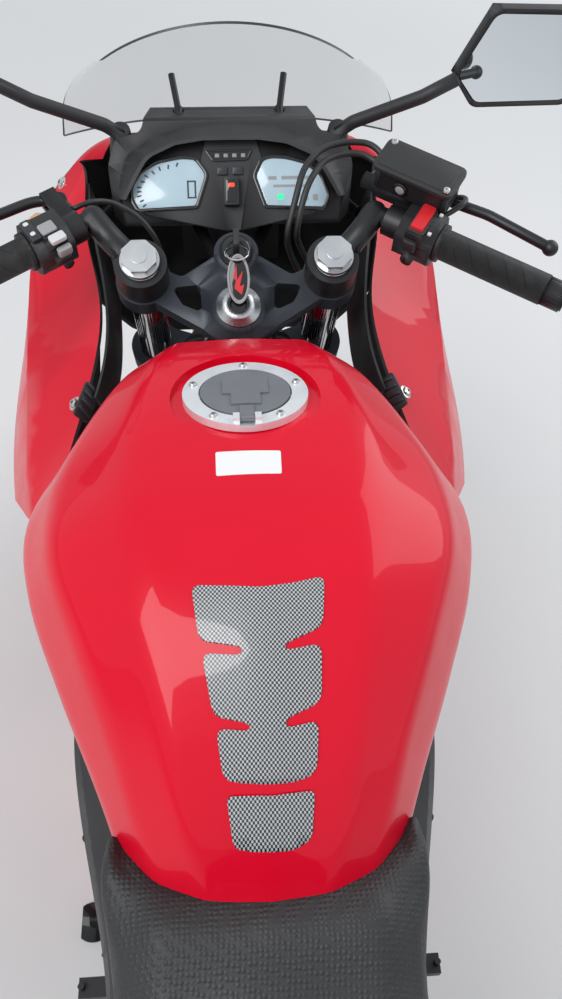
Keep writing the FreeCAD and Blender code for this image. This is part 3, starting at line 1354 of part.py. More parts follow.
def rear_caliper():
    """Single-piston caliper above the rear disc, on a bracket to the right arm."""
    offset = -size("rear_disc_offset")
    half = size("disc_thickness") / 2

    def polar(radius, turn):
        return (REAR_AXLE.x + radius * cosine(turn), REAR_AXLE.z + radius * sine(turn))

    body = side_plate([polar(84, 52), polar(84, 88), polar(138, 88), polar(138, 52)], offset - 22,
                      offset + 14, 8)
    slot = side_plate([polar(60, 40), polar(60, 100), polar(124, 100), polar(126, 70), polar(124, 40)],
                      offset - half - 1.2, offset + half + 1.2, 4)
    bracket = side_plate([polar(28, 60), polar(28, 90), polar(90, 92), polar(90, 50)], offset - 32,
                         offset - 20, 6)
    eye = ring(Vector(REAR_AXLE.x, offset - 32, REAR_AXLE.z), Vector(REAR_AXLE.x, offset - 20, REAR_AXLE.z),
               32, 17.5)
    return joined([body.cut(slot), bracket, eye])


def indicators(nose, holder):
    """Turn signals on short stalks: on the nose and beside the number plate."""
    pods = []
    for tip, carrier in ((point(706, 262, 850), nose), (point(-915, 110, 690), holder)):
        stalk = peg(tip, carrier, 6)
        pod = beam(((tip.x + 22, tip.y + 14, tip.z, 10, 9), (tip.x, tip.y + 16, tip.z, 17, 15),
                    (tip.x - 24, tip.y + 12, tip.z, 14, 13)), True)
        pods.append(joined([stalk, pod]))
    return pods


def mirror():
    """Arm from the nose to a five-sided head that faces the rider."""
    foot = point(606, 133, 1046)
    arm = tube([foot, point(600, 150, 1062), point(578, 226, 1104), point(572, 262, 1128)], 8, 30)
    base = cone(point(STAY_X - 4, 134, 1012), point(606, 133, 1052), 17, 12)
    corners = [point(578, y, z) for y, z in ((258, 1128), (286, 1090), (400, 1092), (424, 1140),
                                             (388, 1200), (292, 1202))]
    face = Part.Face(Part.Wire(rounded_edges(corners, 16, True)))
    head = face.extrude(Vector(14, 0, 0))
    dome = [point(606, y, z) for y, z in ((284, 1134), (300, 1108), (386, 1110), (402, 1142), (376, 1184),
                                          (300, 1186))]
    back = Part.makeLoft([Part.makePolygon([point(592, y, z) for y, z in
                                           ((258, 1128), (286, 1090), (400, 1092), (424, 1140), (388, 1200),
                                            (292, 1202), (258, 1128))]),
                          Part.makePolygon(dome + dome[:1])], True, True)
    recess = [point(577, y, z) for y, z in ((263, 1128), (289, 1095), (397, 1097), (418, 1140), (385, 1195),
                                            (295, 1197))]
    pocket = Part.Face(Part.Wire(rounded_edges(recess, 14, True))).extrude(Vector(5, 0, 0))
    glass = [point(579, y, z) for y, z in ((264, 1128), (290, 1096), (396, 1098), (417, 1140), (384, 1194),
                                           (296, 1196))]
    pane = Part.Face(Part.Wire(rounded_edges(glass, 13, True))).extrude(Vector(2.6, 0, 0))
    body = joined([head, back]).cut(pocket)
    whole = joined([body, arm.cut(box((577, 258, 1080), (584, 430, 1210))), base])
    return whole, pane


STAND_PIVOT = point(-88, 0, 286)
STAND_INNER = 142


def side_stand():
    """The stand: an eye on the frame's lug, a bent leg and a pad that lies flat on the ground."""
    upright = PARKED.inverse()
    foot_x, foot_across = -40, 262
    leaned = PARKED.multVec(point(foot_x, foot_across, 50))
    pad = cylinder(Vector(leaned.x, leaned.y, 0), Vector(leaned.x, leaned.y, 7), 30)
    pad = pad.common(box((leaned.x - 30, leaned.y - 19, 0), (leaned.x + 30, leaned.y + 19, 7)))
    pad.Placement = upright
    ankle = upright.multVec(Vector(leaned.x, leaned.y - 2, 8.5))
    low = STAND_INNER + SEAT_GAP
    eye = cylinder(Vector(STAND_PIVOT.x, low, STAND_PIVOT.z),
                   Vector(STAND_PIVOT.x, low + 12, STAND_PIVOT.z), 15)
    bolt = cylinder(Vector(STAND_PIVOT.x, low + 12, STAND_PIVOT.z),
                    Vector(STAND_PIVOT.x, low + 18, STAND_PIVOT.z), 8)
    knee = Vector(STAND_PIVOT.x + 4, low + 11, STAND_PIVOT.z - 4)
    leg = tube([knee, Vector(STAND_PIVOT.x + 14, low + 22, STAND_PIVOT.z - 58), ankle], 10, 70)
    return joined([eye, bolt, leg, pad])


def radiator(cowls):
    """Core, side tanks, filler and the two tabs that hang it under the steering head."""
    core = side_plate(((376, 440), (402, 434), (438, 676), (412, 682)), -148, 148, 3)
    tanks = [side_plate(((372, 436), (406, 428), (442, 680), (408, 688)), low, high, 8)
             for low, high in ((-176, -148), (148, 176))]
    low = 158 + SEAT_GAP
    tab = side_plate(((284, 586), (284, 606), (416, 662), (412, 640)), low, low + 4, 4)
    filler = cylinder(point(424, -162, 676), point(428, -162, 704), 14)
    cowl_peg = peg(point(408, 170, 560), cowls, 8)
    return joined([core] + tanks + [tab, mirrored(tab), filler, cowl_peg, mirrored(cowl_peg)])


def rear_shock():
    """A spring and damper between the frame's cross tube and the swingarm's lug."""
    top = point(-118, 0, 628)
    low = point(-309, 0, 470)
    run = (low - top).normalize()
    body = cylinder(top + run * 18, top + run * 120, 23)
    rod = cylinder(top + run * 118, top + run * 222, 9)
    seats = [cylinder(top + run * 24, top + run * 32, 36), cylinder(top + run * 206, top + run * 216, 36)]
    coils = []
    for index in range(8):
        coils.append(Part.makeTorus(31, 5.4, top + run * (38 + index * 22), run))
    sleeve = cylinder(top + run * 30, top + run * 210, 26)
    eyes = [cylinder(Vector(end.x, -14, end.z), Vector(end.x, 14, end.z), 15) for end in (top, low)]
    necks = [cylinder(top, top + run * 24, 12), cylinder(low - run * 30, low, 12)]
    return joined([body, rod, sleeve] + seats + coils + eyes + necks)


def footrests():
    """Cast hangers outside the pivot plates with the rider's pegs, the gear lever and the brake pedal."""
    low = 148 + SEAT_GAP
    hanger = side_plate(((-200, 470), (-120, 478), (-112, 430), (-150, 380), (-176, 316), (-206, 316),
                         (-214, 380)),
                        low, low + 8, 12)
    guard = side_plate(((-214, 380), (-200, 470), (-232, 440), (-262, 380), (-236, 356)), low, low + 3, 8)
    peg = joined([cylinder(point(-190, low + 6, 334), point(-190, low + 24, 334), 9),
                  box((-202, low + 22, 326), (-178, low + 84, 342)),
                  cylinder(point(-190, low + 80, 341), point(-190, low + 80, 352), 4)])
    toe = tube([point(-150, low + 12, 350), point(-110, low + 16, 334), point(-62, low + 24, 320),
                point(-62, low + 50, 320)], 6, 14)
    toe_pad = cylinder(point(-62, low + 28, 320), point(-62, low + 56, 320), 9)
    toe_boss = cylinder(point(-150, low + 6, 350), point(-150, low + 18, 350), 12)
    heel = side_plate(((-160, 372), (-140, 372), (-140, 340), (-160, 330)), low + 6, low + 10, 3)
    side = joined([hanger, guard, peg, toe, toe_pad, toe_boss, heel])
    return pair(side)


def pillion_pegs():
    """Triangular hangers under the seat rails with the passenger's pegs."""
    bar = tube([point(-470, 122, 716), point(-440, 132, 600), point(-420, 138, 520)], 9, 60)
    brace = tube([point(-360, 128, 640), point(-400, 134, 570), point(-420, 138, 520)], 8, 60)
    peg = joined([cylinder(point(-420, 136, 514), point(-420, 160, 514), 10),
                  box((-431, 156, 506), (-409, 226, 522))])
    return joined([bar, brace, peg])


TAIL_TOP = 796 - TAIL_CROSS_RADIUS - SEAT_GAP


def tail():
    lamp = hull((
        (-829, ((0, 890), (70, 882), (84, 868), (80, 842), (60, 830), (0, 830))),
        (-868, ((0, 878), (52, 872), (64, 862), (60, 846), (44, 838), (0, 838))),
    ), 6, True)
    holder = side_plate(((-846, TAIL_TOP), (-800, TAIL_TOP), (-830, 740), (-930, 650), (-1010, 560),
                         (-1026, 566),
                         (-950, 668), (-880, 742)), -46, 46, 12)
    sides = side_plate(((-846, TAIL_TOP), (-700, TAIL_TOP), (-720, 760), (-800, 730), (-860, 700),
                        (-900, 716)), -70, 70, 10)
    hollow = side_plate(((-835, 778), (-690, 778), (-716, 762), (-800, 736), (-852, 712), (-880, 722)), -66,
                        66, 8)
    plate = side_plate(((-1014, 640), (-1002, 640), (-1050, 470), (-1062, 470)), -90, 90, 3)
    return lamp, holder, sides, hollow, plate


def side_covers(frame):
    """Black covers between the tank, the seat and the frame."""
    stations = (
        (-20, ((170, 760), (182, 754), (188, 748), (188, 742))),
        (-120, ((148, 744), (170, 725), (180, 690), (176, 655))),
        (-220, ((130, 736), (150, 712), (160, 660), (150, 610))),
        (-300, ((126, 738), (140, 718), (148, 690), (140, 660))),
    )
    skin = strip_panel(stations, 3)
    pegs = [peg(point(-120, 176, 690), frame, 6), peg(point(-220, 156, 660), frame, 6)]
    return joined([skin] + pegs)


front_wheel()
rear_wheel()
fork()
bridges()
handlebars()
switchgear()
levers()
node("hoses", hoses())
front_brake()
front_fender()

tank_shape = fuel_tank()
rider_shape = hull(SEAT[1:], SEAT_CORNER)
pillion_shape = hull(PILLION, SEAT_CORNER)
frame_shape = main_frame(tank_shape, rider_shape, pillion_shape)
engine_shape = engine()
right_cover, left_cover, pulse_cover, sprocket_cover = engine_covers(engine_shape)
node("frame", frame_shape)
node("engine_block", engine_shape)
node("engine_covers", Part.makeCompound([right_cover, left_cover, pulse_cover, sprocket_cover]))
node("exhaust_headers", exhaust())
node("muffler", muffler())
node("swingarm", swingarm())
rear_axle()
node("chain", chain())
node("fuel_tank", tank_shape)
cap_shape, lid_shape = fuel_cap()
node("cap_ring", cap_shape)
node("fuel_lid", lid_shape)
node("rider_seat", rider_shape)
node("pillion_seat", pillion_shape)
node("tail_cowl", pair(tail_cowl(frame_shape)))
cowl_shape = side_cowl()
node("side_cowls", pair(cowl_shape))
nose_shape, nose_outer, nose_inner = nose_cowl()
node("nose_cowl", nose_shape)
screen_shape = windscreen()
node("windscreen", screen_shape)
node("cockpit_panel", cockpit())
node("instruments", instruments())
node("inner_panels", pair(inner_panels()))
lens_shape, housing_shape = headlamp(nose_outer, nose_inner)
node("headlamp_lens", lens_shape)
node("headlamp_housing", housing_shape)
mirror_shape, mirror_pane = mirror()
node("mirrors", pair(mirror_shape))
node("mirror_glasses", pair(mirror_pane))
node("cowl_stay", cowl_stay(mirror_shape, screen_shape, housing_shape, inner_panels()))
node("rear_caliper", rear_caliper())
lamp_shape, holder_shape, tail_sides, tail_hollow, plate_shape = tail()
fender_shape = joined([holder_shape, tail_sides.cut(tail_hollow), plate_shape])
front_pod, rear_pod = indicators(nose_outer, fender_shape)
node("indicators", Part.makeCompound([front_pod, mirrored(front_pod), rear_pod, mirrored(rear_pod)]))
node("side_stand", side_stand())
node("radiator", radiator(cowl_shape))
node("rear_shock", rear_shock())
node("footrests", footrests())
node("pillion_pegs", pair(pillion_pegs()))
node("tail_lamp", lamp_shape)
node("rear_fender", fender_shape)
node("side_covers", pair(side_covers(frame_shape)))

doc.recompute()
failed = [feature.Name for feature in doc.Objects
          if "Invalid" in feature.State or "Error" in feature.State]
for feature in subparts:
    if feature.Shape.isNull() or not feature.Shape.isValid() or not feature.Shape.Solids:
        failed.append(feature.Label)
if failed:
    raise RuntimeError("these did not build: " + ", ".join(failed))
os.makedirs("parts", exist_ok=True)
for feature in subparts:
    feature.Shape.exportStep(os.path.join("parts", feature.Label + ".step"))
whole = Part.makeCompound([feature.Shape for feature in subparts])
bounds = whole.BoundBox
print("nodes", len(subparts))
print("box", [round(v, 1) for v in (bounds.XMin, bounds.XMax, bounds.YMin, bounds.YMax, bounds.ZMin,
                                    bounds.ZMax)])
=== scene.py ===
"""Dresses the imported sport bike: paint, castings, screen, gauges, seats, pad, key, switches."""
import json
import math

import bmesh
import bpy
from bpy.props import FloatProperty, FloatVectorProperty, PointerProperty
from mathutils import Matrix, Vector

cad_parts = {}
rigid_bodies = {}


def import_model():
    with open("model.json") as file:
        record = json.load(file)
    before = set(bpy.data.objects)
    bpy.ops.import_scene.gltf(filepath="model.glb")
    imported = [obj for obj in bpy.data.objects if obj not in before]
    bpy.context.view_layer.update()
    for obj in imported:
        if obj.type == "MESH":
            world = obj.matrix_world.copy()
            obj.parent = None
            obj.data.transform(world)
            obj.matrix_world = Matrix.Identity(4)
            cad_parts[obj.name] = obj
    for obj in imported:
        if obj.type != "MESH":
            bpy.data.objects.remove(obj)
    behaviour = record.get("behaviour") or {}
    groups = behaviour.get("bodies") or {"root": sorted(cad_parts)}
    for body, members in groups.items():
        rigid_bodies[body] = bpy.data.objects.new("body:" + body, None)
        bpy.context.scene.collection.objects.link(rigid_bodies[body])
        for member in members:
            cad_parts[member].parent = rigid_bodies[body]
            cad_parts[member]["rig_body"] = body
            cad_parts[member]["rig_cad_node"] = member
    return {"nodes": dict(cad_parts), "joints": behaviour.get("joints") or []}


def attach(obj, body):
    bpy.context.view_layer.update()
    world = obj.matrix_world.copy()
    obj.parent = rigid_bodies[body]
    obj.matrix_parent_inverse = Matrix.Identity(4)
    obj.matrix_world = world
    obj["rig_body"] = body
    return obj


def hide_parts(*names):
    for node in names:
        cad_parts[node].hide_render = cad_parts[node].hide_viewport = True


bl_info = {
    "name": "Sport bike",
    "version": (1, 0, 0),
    "blender": (4, 5, 0),
    "location": "View3D > Sidebar > Bike",
    "description": "Paint, controls, gauges, seat and fittings on the packed motorcycle",
    "category": "Object",
}

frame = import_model()
NODES = frame["nodes"]
JOINTS = {joint["name"]: joint for joint in frame["joints"]}
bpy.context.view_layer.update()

# Lengths are millimetres on the upright bike: x ahead of the wheelbase's middle,
# y to the rider's left, z up.
MM = 0.001
WHEELBASE = 1450
LEAN_DEGREES = 11
FRONT_CROWN = 66.368
REAR_CROWN = 102.915
FRONT_AXLE = Vector((WHEELBASE / 2, 0, 300))
REAR_AXLE = Vector((-WHEELBASE / 2, 0, 315))
RAKE = math.radians(25.5)
STEER_UP = Vector((-math.sin(RAKE), 0, math.cos(RAKE)))
STEER_AHEAD = Vector((math.cos(RAKE), 0, math.sin(RAKE)))
FORK_OFFSET = 38
HAND_HEIGHT = 1000
AXLE_ON_AXIS = FRONT_AXLE - STEER_AHEAD * FORK_OFFSET
STEER_ORIGIN = AXLE_ON_AXIS + STEER_UP * ((HAND_HEIGHT - AXLE_ON_AXIS.z) / STEER_UP.z)

# The bike leans about the line through the centres of both tyres' crown arcs.
LEAN_AXIS = Vector((WHEELBASE, 0, FRONT_CROWN - REAR_CROWN)).normalized()
LEAN = Matrix.Rotation(math.radians(-LEAN_DEGREES), 4, LEAN_AXIS)
HUB_PARKED = Vector(JOINTS["front_wheel_spin"]["pos_m"])
PARKED = Matrix.Translation(HUB_PARKED - LEAN @ (FRONT_AXLE * MM)) @ LEAN
BACK_UPRIGHT = PARKED.inverted()

BIKE_AHEAD = tuple(PARKED.to_3x3() @ Vector((1, 0, 0)))
BIKE_ACROSS = tuple(PARKED.to_3x3() @ Vector((0, 1, 0)))
BIKE_UP = tuple(PARKED.to_3x3() @ Vector((0, 0, 1)))
ACROSS = Vector((0, 1, 0))


def grid_at(origin, ahead, across, up):
    """The matrix of a local grid; its three ways are given on the upright bike."""
    return Matrix.Translation(origin) @ Matrix((ahead, across, up)).transposed().to_4x4()


UPRIGHT = Matrix.Identity(4)
STEERING = grid_at(STEER_ORIGIN, STEER_AHEAD, ACROSS, STEER_UP)
BRIDGE_TOP = -28
STEER_AT_Y = JOINTS["steering_turn"]["pos_m"][1]
CAP_TILT = math.radians(15)
CAP_AHEAD = Vector((math.cos(CAP_TILT), 0, -math.sin(CAP_TILT)))
CAP = grid_at(Vector((180, 0, 1020)), CAP_AHEAD, ACROSS, CAP_AHEAD.cross(ACROSS))
FACE_FOOT = Vector((548, 0, 1004))
FACE_UP = Vector((58, 0, 62)).normalized()
FACE = grid_at(FACE_FOOT, FACE_UP, ACROSS, FACE_UP.cross(ACROSS))
POD_OUT = 9.3
BAR_RUN = Vector((-0.538, 0.835, -0.115)).normalized()
BAR_BACK = Vector((-0.25, 0, 1)).cross(BAR_RUN).normalized()
BAR_UP = BAR_RUN.cross(BAR_BACK)
BAR_ELBOW = Vector((430, 155, 1047))
LEFT_BAR = grid_at(BAR_ELBOW, BAR_RUN, BAR_BACK, BAR_UP)
ACROSS_BIKE = Matrix.Scale(-1, 4, ACROSS)
RIGHT_BAR = ACROSS_BIKE @ LEFT_BAR

# The photograph's camera, on the upright bike.
CAMERA_AT = Vector((-436.04, 22.77, 1627.14))
CAMERA_YAW = math.radians(-5.648)
CAMERA_PITCH = math.radians(51.237)
CAMERA_ROLL = math.radians(2.212)
LENS_PIXELS = 900
PHOTO_HEIGHT = 999
SENSOR = 36


class Value:
    """One number or colour inside a material, with arithmetic that adds the nodes."""

    def __init__(self, finish, socket):
        self.finish = finish
        self.socket = socket

    def maths(self, operation, *others):
        values = dict(enumerate((self,) + others))
        return self.finish.add("ShaderNodeMath", {"operation": operation}, values)

    def __add__(self, other):
        return self.maths("ADD", other)

    def __sub__(self, other):
        return self.maths("SUBTRACT", other)

    def __mul__(self, other):
        return self.maths("MULTIPLY", other)

    def __rsub__(self, other):
        return self.finish.add("ShaderNodeMath", {"operation": "SUBTRACT"}, {0: other, 1: self})

    def __gt__(self, other):
        return self.maths("GREATER_THAN", other)

    def __lt__(self, other):
        return self.maths("LESS_THAN", other)

    def __abs__(self):
        return self.maths("ABSOLUTE")

    def __mod__(self, other):
        return self.maths("FLOORED_MODULO", other)

    __radd__ = __add__
    __rmul__ = __mul__

    def sine(self):
        return self.maths("SINE")

    def clamped(self):
        return self.finish.add("ShaderNodeClamp", {}, {0: self})

    def ramp(self, *stops):
        """Maps the number to the greys at the given places."""
        return self.finish.add("ShaderNodeValToRGB", {"stops": stops}, {0: self})


# Sockets of the Mix node that carry colours.
MIX_FIRST = 6
MIX_SECOND = 7
MIX_RESULT = 2


class Nodes:
    """A node tree; its method add makes any node."""

    def __init__(self, tree):
        self.tree = tree

    def add(self, kind, settings, values, result=0):
        node = self.tree.nodes.new(kind)
        for key, setting in settings.items():
            if key == "stops":
                ramp = node.color_ramp
                while len(ramp.elements) < len(setting):
                    ramp.elements.new(0.5)
                for element, (place, colour) in zip(ramp.elements, setting):
                    element.position = place
                    element.color = (colour, colour, colour, 1)
            else:
                setattr(node, key, setting)
        for key, value in values.items():
            if isinstance(value, Value):
                self.tree.links.new(value.socket, node.inputs[key])
            else:
                node.inputs[key].default_value = value
        return Value(self, node.outputs[result])


class Finish(Nodes):
    """A material, with the noises, mixes and bumps that the finishes use."""

    def __init__(self, name):
        self.material = bpy.data.materials.new(name)
        self.material.use_nodes = True
        super().__init__(self.material.node_tree)
        self.shader = self.tree.nodes["Principled BSDF"]
        self.output = self.tree.nodes["Material Output"]

    def place(self, size=1.0):
        """Object coordinates in metres, times a scale."""
        where = self.add("ShaderNodeTexCoord", {}, {}, "Object")
        return self.add("ShaderNodeVectorMath", {"operation": "SCALE"}, {0: where, "Scale": size})

    def noise(self, size, detail=3.0, where=None):
        return self.add("ShaderNodeTexNoise", {}, {"Vector": where or self.place(), "Scale": size,
                                                   "Detail": detail})

    def mix(self, share, first, second):
        colours = {0: share, MIX_FIRST: first, MIX_SECOND: second}
        return self.add("ShaderNodeMix", {"data_type": "RGBA"}, colours, MIX_RESULT)

    def bump(self, height, strength, distance, under=None):
        values = {"Height": height, "Strength": strength, "Distance": distance}
        if under is not None:
            values["Normal"] = under
        return self.add("ShaderNodeBump", {}, values)

    def surface(self, **values):
        """Sets the shader's sockets: Base_Color, Roughness and so on."""
        for key, value in values.items():
            name = key.replace("_", " ")
            if isinstance(value, Value):
                self.tree.links.new(value.socket, self.shader.inputs[name])
            else:
                self.shader.inputs[name].default_value = value
        return self.material


def shade(colour, factor):
    """A colour made lighter or darker."""
    return tuple(channel * factor for channel in colour[:3]) + (1,)


def paint(name, colour, coat, rough=0.3):
    """Sprayed colour under clear lacquer, with a faint orange peel and a slightly uneven tone."""
    made = Finish(name)
    cloud = made.noise(5.0, 2.0)
    tone = made.mix(cloud, shade(colour, 0.93), shade(colour, 1.05))
    peel = made.bump(made.noise(260.0, 1.0), 0.04, 0.0004)
    wipe = made.noise(38.0, 4.0).ramp((0.35, rough), (0.7, rough + 0.05))
    return made.surface(Base_Color=tone, Roughness=wipe, Coat_Weight=coat, Coat_Roughness=0.03,
                        Normal=peel, Specular_IOR_Level=0.1)


def moulded(name, colour, rough=0.55):
    """Textured plastic: a fine spark-eroded grain with slightly shinier worn patches."""
    made = Finish(name)
    worn = made.noise(14.0, 4.0)
    tone = made.mix(worn, shade(colour, 0.85), shade(colour, 1.2))
    matt = worn.ramp((0.3, rough + 0.06), (0.75, rough - 0.08))
    return made.surface(Base_Color=tone, Roughness=matt,
                        Normal=made.bump(made.noise(900.0, 2.0), 0.5, 0.00025))


def cast(name, colour, rough, metallic=1.0):
    """Cast and bead-blasted alloy."""
    made = Finish(name)
    mottle = made.noise(30.0, 5.0)
    tone = made.mix(mottle, shade(colour, 0.85), shade(colour, 1.12))
    matt = mottle.ramp((0.3, rough - 0.05), (0.7, rough + 0.09))
    return made.surface(Base_Color=tone, Metallic=metallic, Roughness=matt,
                        Normal=made.bump(made.noise(420.0, 3.0), 0.35, 0.0003))


# Machining lines per metre along the bike, across it and up.
LATHE_LINES = (900.0, 60.0, 900.0)


def machined(name, colour, rough):
    """Turned or drawn steel with fine lines."""
    made = Finish(name)
    stretched = made.add("ShaderNodeVectorMath", {"operation": "MULTIPLY"},
                         {0: made.place(), 1: LATHE_LINES})
    lines = made.noise(1.0, 2.0, where=stretched)
    tone = made.mix(lines, shade(colour, 0.88), shade(colour, 1.08))
    matt = lines.ramp((0.3, rough), (0.7, rough + 0.1))
    return made.surface(Base_Color=tone, Metallic=1.0, Roughness=matt,
                        Normal=made.bump(lines, 0.12, 0.0001))


def dusty(made, size, clean, dust):
    """Rubber's colour with pale dust in patches."""
    return made.mix(made.noise(size, 5.0).ramp((0.45, 0.0), (0.75, 1.0)), clean, dust)


def skin_grain(made):
    """The fine even grain of moulded rubber."""
    return made.bump(made.noise(700.0, 2.0), 0.3, 0.0002)


def rubber(name, colour, rough):
    """Plain moulded rubber."""
    made = Finish(name)
    tone = dusty(made, 60.0, colour, shade(colour, 2.2))
    return made.surface(Base_Color=tone, Roughness=rough, Normal=skin_grain(made))


def clear(name, tint, alpha):
    """Thin clear plastic that lets what is behind show through."""
    made = Finish(name)
    smear = made.noise(22.0, 4.0).ramp((0.4, 0.02), (0.8, 0.08))
    made.material.surface_render_method = "BLENDED"
    return made.surface(Base_Color=tint, Roughness=smear, Alpha=alpha, IOR=1.49)


def looking_glass(name):
    """A mirror with a faint film of dust."""
    made = Finish(name)
    film = made.noise(18.0, 4.0).ramp((0.4, 0.01), (0.8, 0.035))
    return made.surface(Base_Color=(0.83, 0.87, 0.9, 1), Metallic=1.0, Roughness=film)


def seat_cover(name):
    """Embossed vinyl: small rounded pips in staggered rows."""
    made = Finish(name)
    spot = made.place(230.0)
    cells = made.add("ShaderNodeTexVoronoi", {"feature": "F1"},
                     {"Vector": spot, "Scale": 1.0, "Randomness": 0.25}, "Distance")
    pips = cells.ramp((0.15, 1.0), (0.55, 0.0))
    wear = made.noise(9.0, 4.0)
    tone = made.mix(wear, (0.011, 0.011, 0.012, 1), (0.022, 0.022, 0.023, 1))
    return made.surface(Base_Color=tone, Roughness=wear.ramp((0.3, 0.62), (0.75, 0.48)),
                        Normal=made.bump(pips, 0.7, 0.0008))


def along(made, where, way):
    """How far a point is along a way."""
    return made.add("ShaderNodeVectorMath", {"operation": "DOT_PRODUCT"},
                    {0: where, 1: tuple(way)}, "Value")


def from_point(made, origin):
    """Millimetres from a point of the upright bike, on the parked one."""
    middle = tuple(PARKED @ (origin * MM) / MM)
    return made.add("ShaderNodeVectorMath", {"operation": "SUBTRACT"},
                    {0: made.place(1 / MM), 1: middle})


# Near black mixed into grooves and the gaps between ribs: painted shade in the recesses.
PAINTED_GROOVE_SHADE = (0.004, 0.004, 0.004, 1)


def tread(name, axle, half_width, blocks):
    """Road rubber with slanted grooves on both shoulders, with painted shade in the grooves."""
    made = Finish(name)
    where = from_point(made, axle)
    across = abs(along(made, where, BIKE_ACROSS))
    angle = along(made, where, BIKE_UP).maths("ARCTAN2", along(made, where, BIKE_AHEAD))
    side = along(made, where, BIKE_ACROSS) > 0
    phase = (angle * (blocks / math.tau) + across * (0.9 / half_width) + side * 0.5) % 1
    groove = (phase < 0.1) * (across > 0.16 * half_width) * (across < 0.86 * half_width)
    on_shoulder = (across > 0.5 * half_width) * (across < 0.95 * half_width)
    second = ((phase + 0.42) % 1 < 0.07) * on_shoulder
    cut = (groove + second).clamped()
    tone = dusty(made, 60.0, (0.014, 0.014, 0.014, 1), (0.03, 0.029, 0.028, 1))
    blocks_and_grain = made.bump(1 - cut, 0.9, 0.003, skin_grain(made))
    # The grooves get painted shade: their colour is mixed to near black.
    return made.surface(Base_Color=made.mix(cut, tone, PAINTED_GROOVE_SHADE), Roughness=0.82,
                        Normal=blocks_and_grain)


# Along a bar from its elbow: the grip's slanted grooves and the ribs beside them, both with painted
# shade in their recesses.
GROOVE_PITCH = 21
GROOVES_START = 100
GROOVES_END = 188
RIB_GAP = 4
RIB_PITCH = 3.2


def grip_rubber(name, elbow, run):
    """Soft rubber with slanted grooves round the bar, with painted shade in the grooves and between
    the ribs.
    """
    made = Finish(name)
    where = from_point(made, elbow)
    way = (PARKED.to_3x3() @ run).normalized()
    side = way.cross(Vector((0, 0, 1))).normalized()
    top = side.cross(way)
    reach = along(made, where, way)
    angle = along(made, where, top).maths("ARCTAN2", along(made, where, side))
    phase = (reach * (1 / GROOVE_PITCH) + angle * 0.62) % 1
    groove = (phase < 0.12) * (reach > GROOVES_START) * (reach < GROOVES_END)
    in_middle = (reach > GROOVES_START - RIB_GAP) * (reach < GROOVES_END + RIB_GAP)
    ribs = (reach * (1 / RIB_PITCH) % 1 < 0.35) * (1 - in_middle)
    # Painted shade: full grooves, and the gaps between ribs at 0.6, are mixed towards near black.
    cut = (groove + ribs * 0.6).clamped()
    tone = dusty(made, 80.0, (0.011, 0.011, 0.011, 1), (0.024, 0.024, 0.025, 1))
    return made.surface(Base_Color=made.mix(cut, tone, PAINTED_GROOVE_SHADE), Roughness=0.58,
                        Normal=made.bump(1 - cut, 0.8, 0.0016))


def finned(name, colour, pitch):
    """Thin level cooling fins, with painted shade between them."""
    made = Finish(name)
    height = along(made, made.place(1 / MM), BIKE_UP)
    wave = (height * (math.tau / pitch)).sine()
    # Painted shade: the colour falls to 0.35 of itself in the gaps between the fins.
    tone = made.mix(wave.ramp((0.2, 0.0), (0.8, 1.0)), shade(colour, 0.35), colour)
    return made.surface(Base_Color=tone, Metallic=0.6, Roughness=0.5,
                        Normal=made.bump(wave, 0.6, 0.0012))


DOT_PITCH = 3.4


def dotted_film(name):
    """Clear film over a black and white dot weave."""
    made = Finish(name)
    where = made.place(1 / MM)
    turn = math.tau / DOT_PITCH
    rows = (along(made, where, BIKE_AHEAD) * turn).sine()
    weave = rows * (along(made, where, BIKE_ACROSS) * turn).sine()
    dots = weave.ramp((0.0, 0.0), (0.06, 1.0))
    tone = made.mix(dots, (0.012, 0.013, 0.014, 1), (0.46, 0.47, 0.48, 1))
    return made.surface(Base_Color=tone, Roughness=0.34, Coat_Weight=0.6, Coat_Roughness=0.05)


def lit_display(name, colour, strength):
    """A gauge's pale liquid crystal under its window, lit from behind and a little uneven."""
    made = Finish(name)
    cloud = made.noise(30.0, 2.0)
    tone = made.mix(cloud, shade(colour, 0.88), shade(colour, 1.1))
    return made.surface(Base_Color=tone, Roughness=0.16, Coat_Weight=0.5, Emission_Color=tone,
                        Emission_Strength=strength)


def glowing(name, colour, strength):
    """A small lit lens."""
    made = Finish(name)
    cloud = made.noise(200.0, 1.0)
    tone = made.mix(cloud, shade(colour, 0.9), shade(colour, 1.1))
    return made.surface(Base_Color=tone, Roughness=0.3, Emission_Color=tone,
                        Emission_Strength=strength)


class BikeSizes(bpy.types.PropertyGroup):
    red: FloatVectorProperty(name="Red", description="Colour of the bodywork", subtype="COLOR",
                             size=4, default=(0.66, 0.0015, 0.02, 1), min=0, max=1)
    black: FloatVectorProperty(name="Black", description="Colour of the moulded plastics",
                               subtype="COLOR", size=4, default=(0.016, 0.016, 0.017, 1),
                               min=0, max=1)
    floor: FloatVectorProperty(name="Floor", description="Colour of the studio floor",
                               subtype="COLOR", size=4, default=(0.72, 0.72, 0.72, 1),
                               min=0, max=1)
    smooth_angle: FloatProperty(name="Smooth angle",
                                description="Edges flatter than this are shaded round",
                                subtype="ANGLE", default=math.radians(34))


def sizes():
    """The colours and angle that a user can change."""
    return bpy.context.scene.bike_sizes


FINISHES = {}


def covered(piece, look):
    """Gives a piece one finish in place of all it had."""
    piece.data.materials.clear()
    piece.data.materials.append(FINISHES[look])


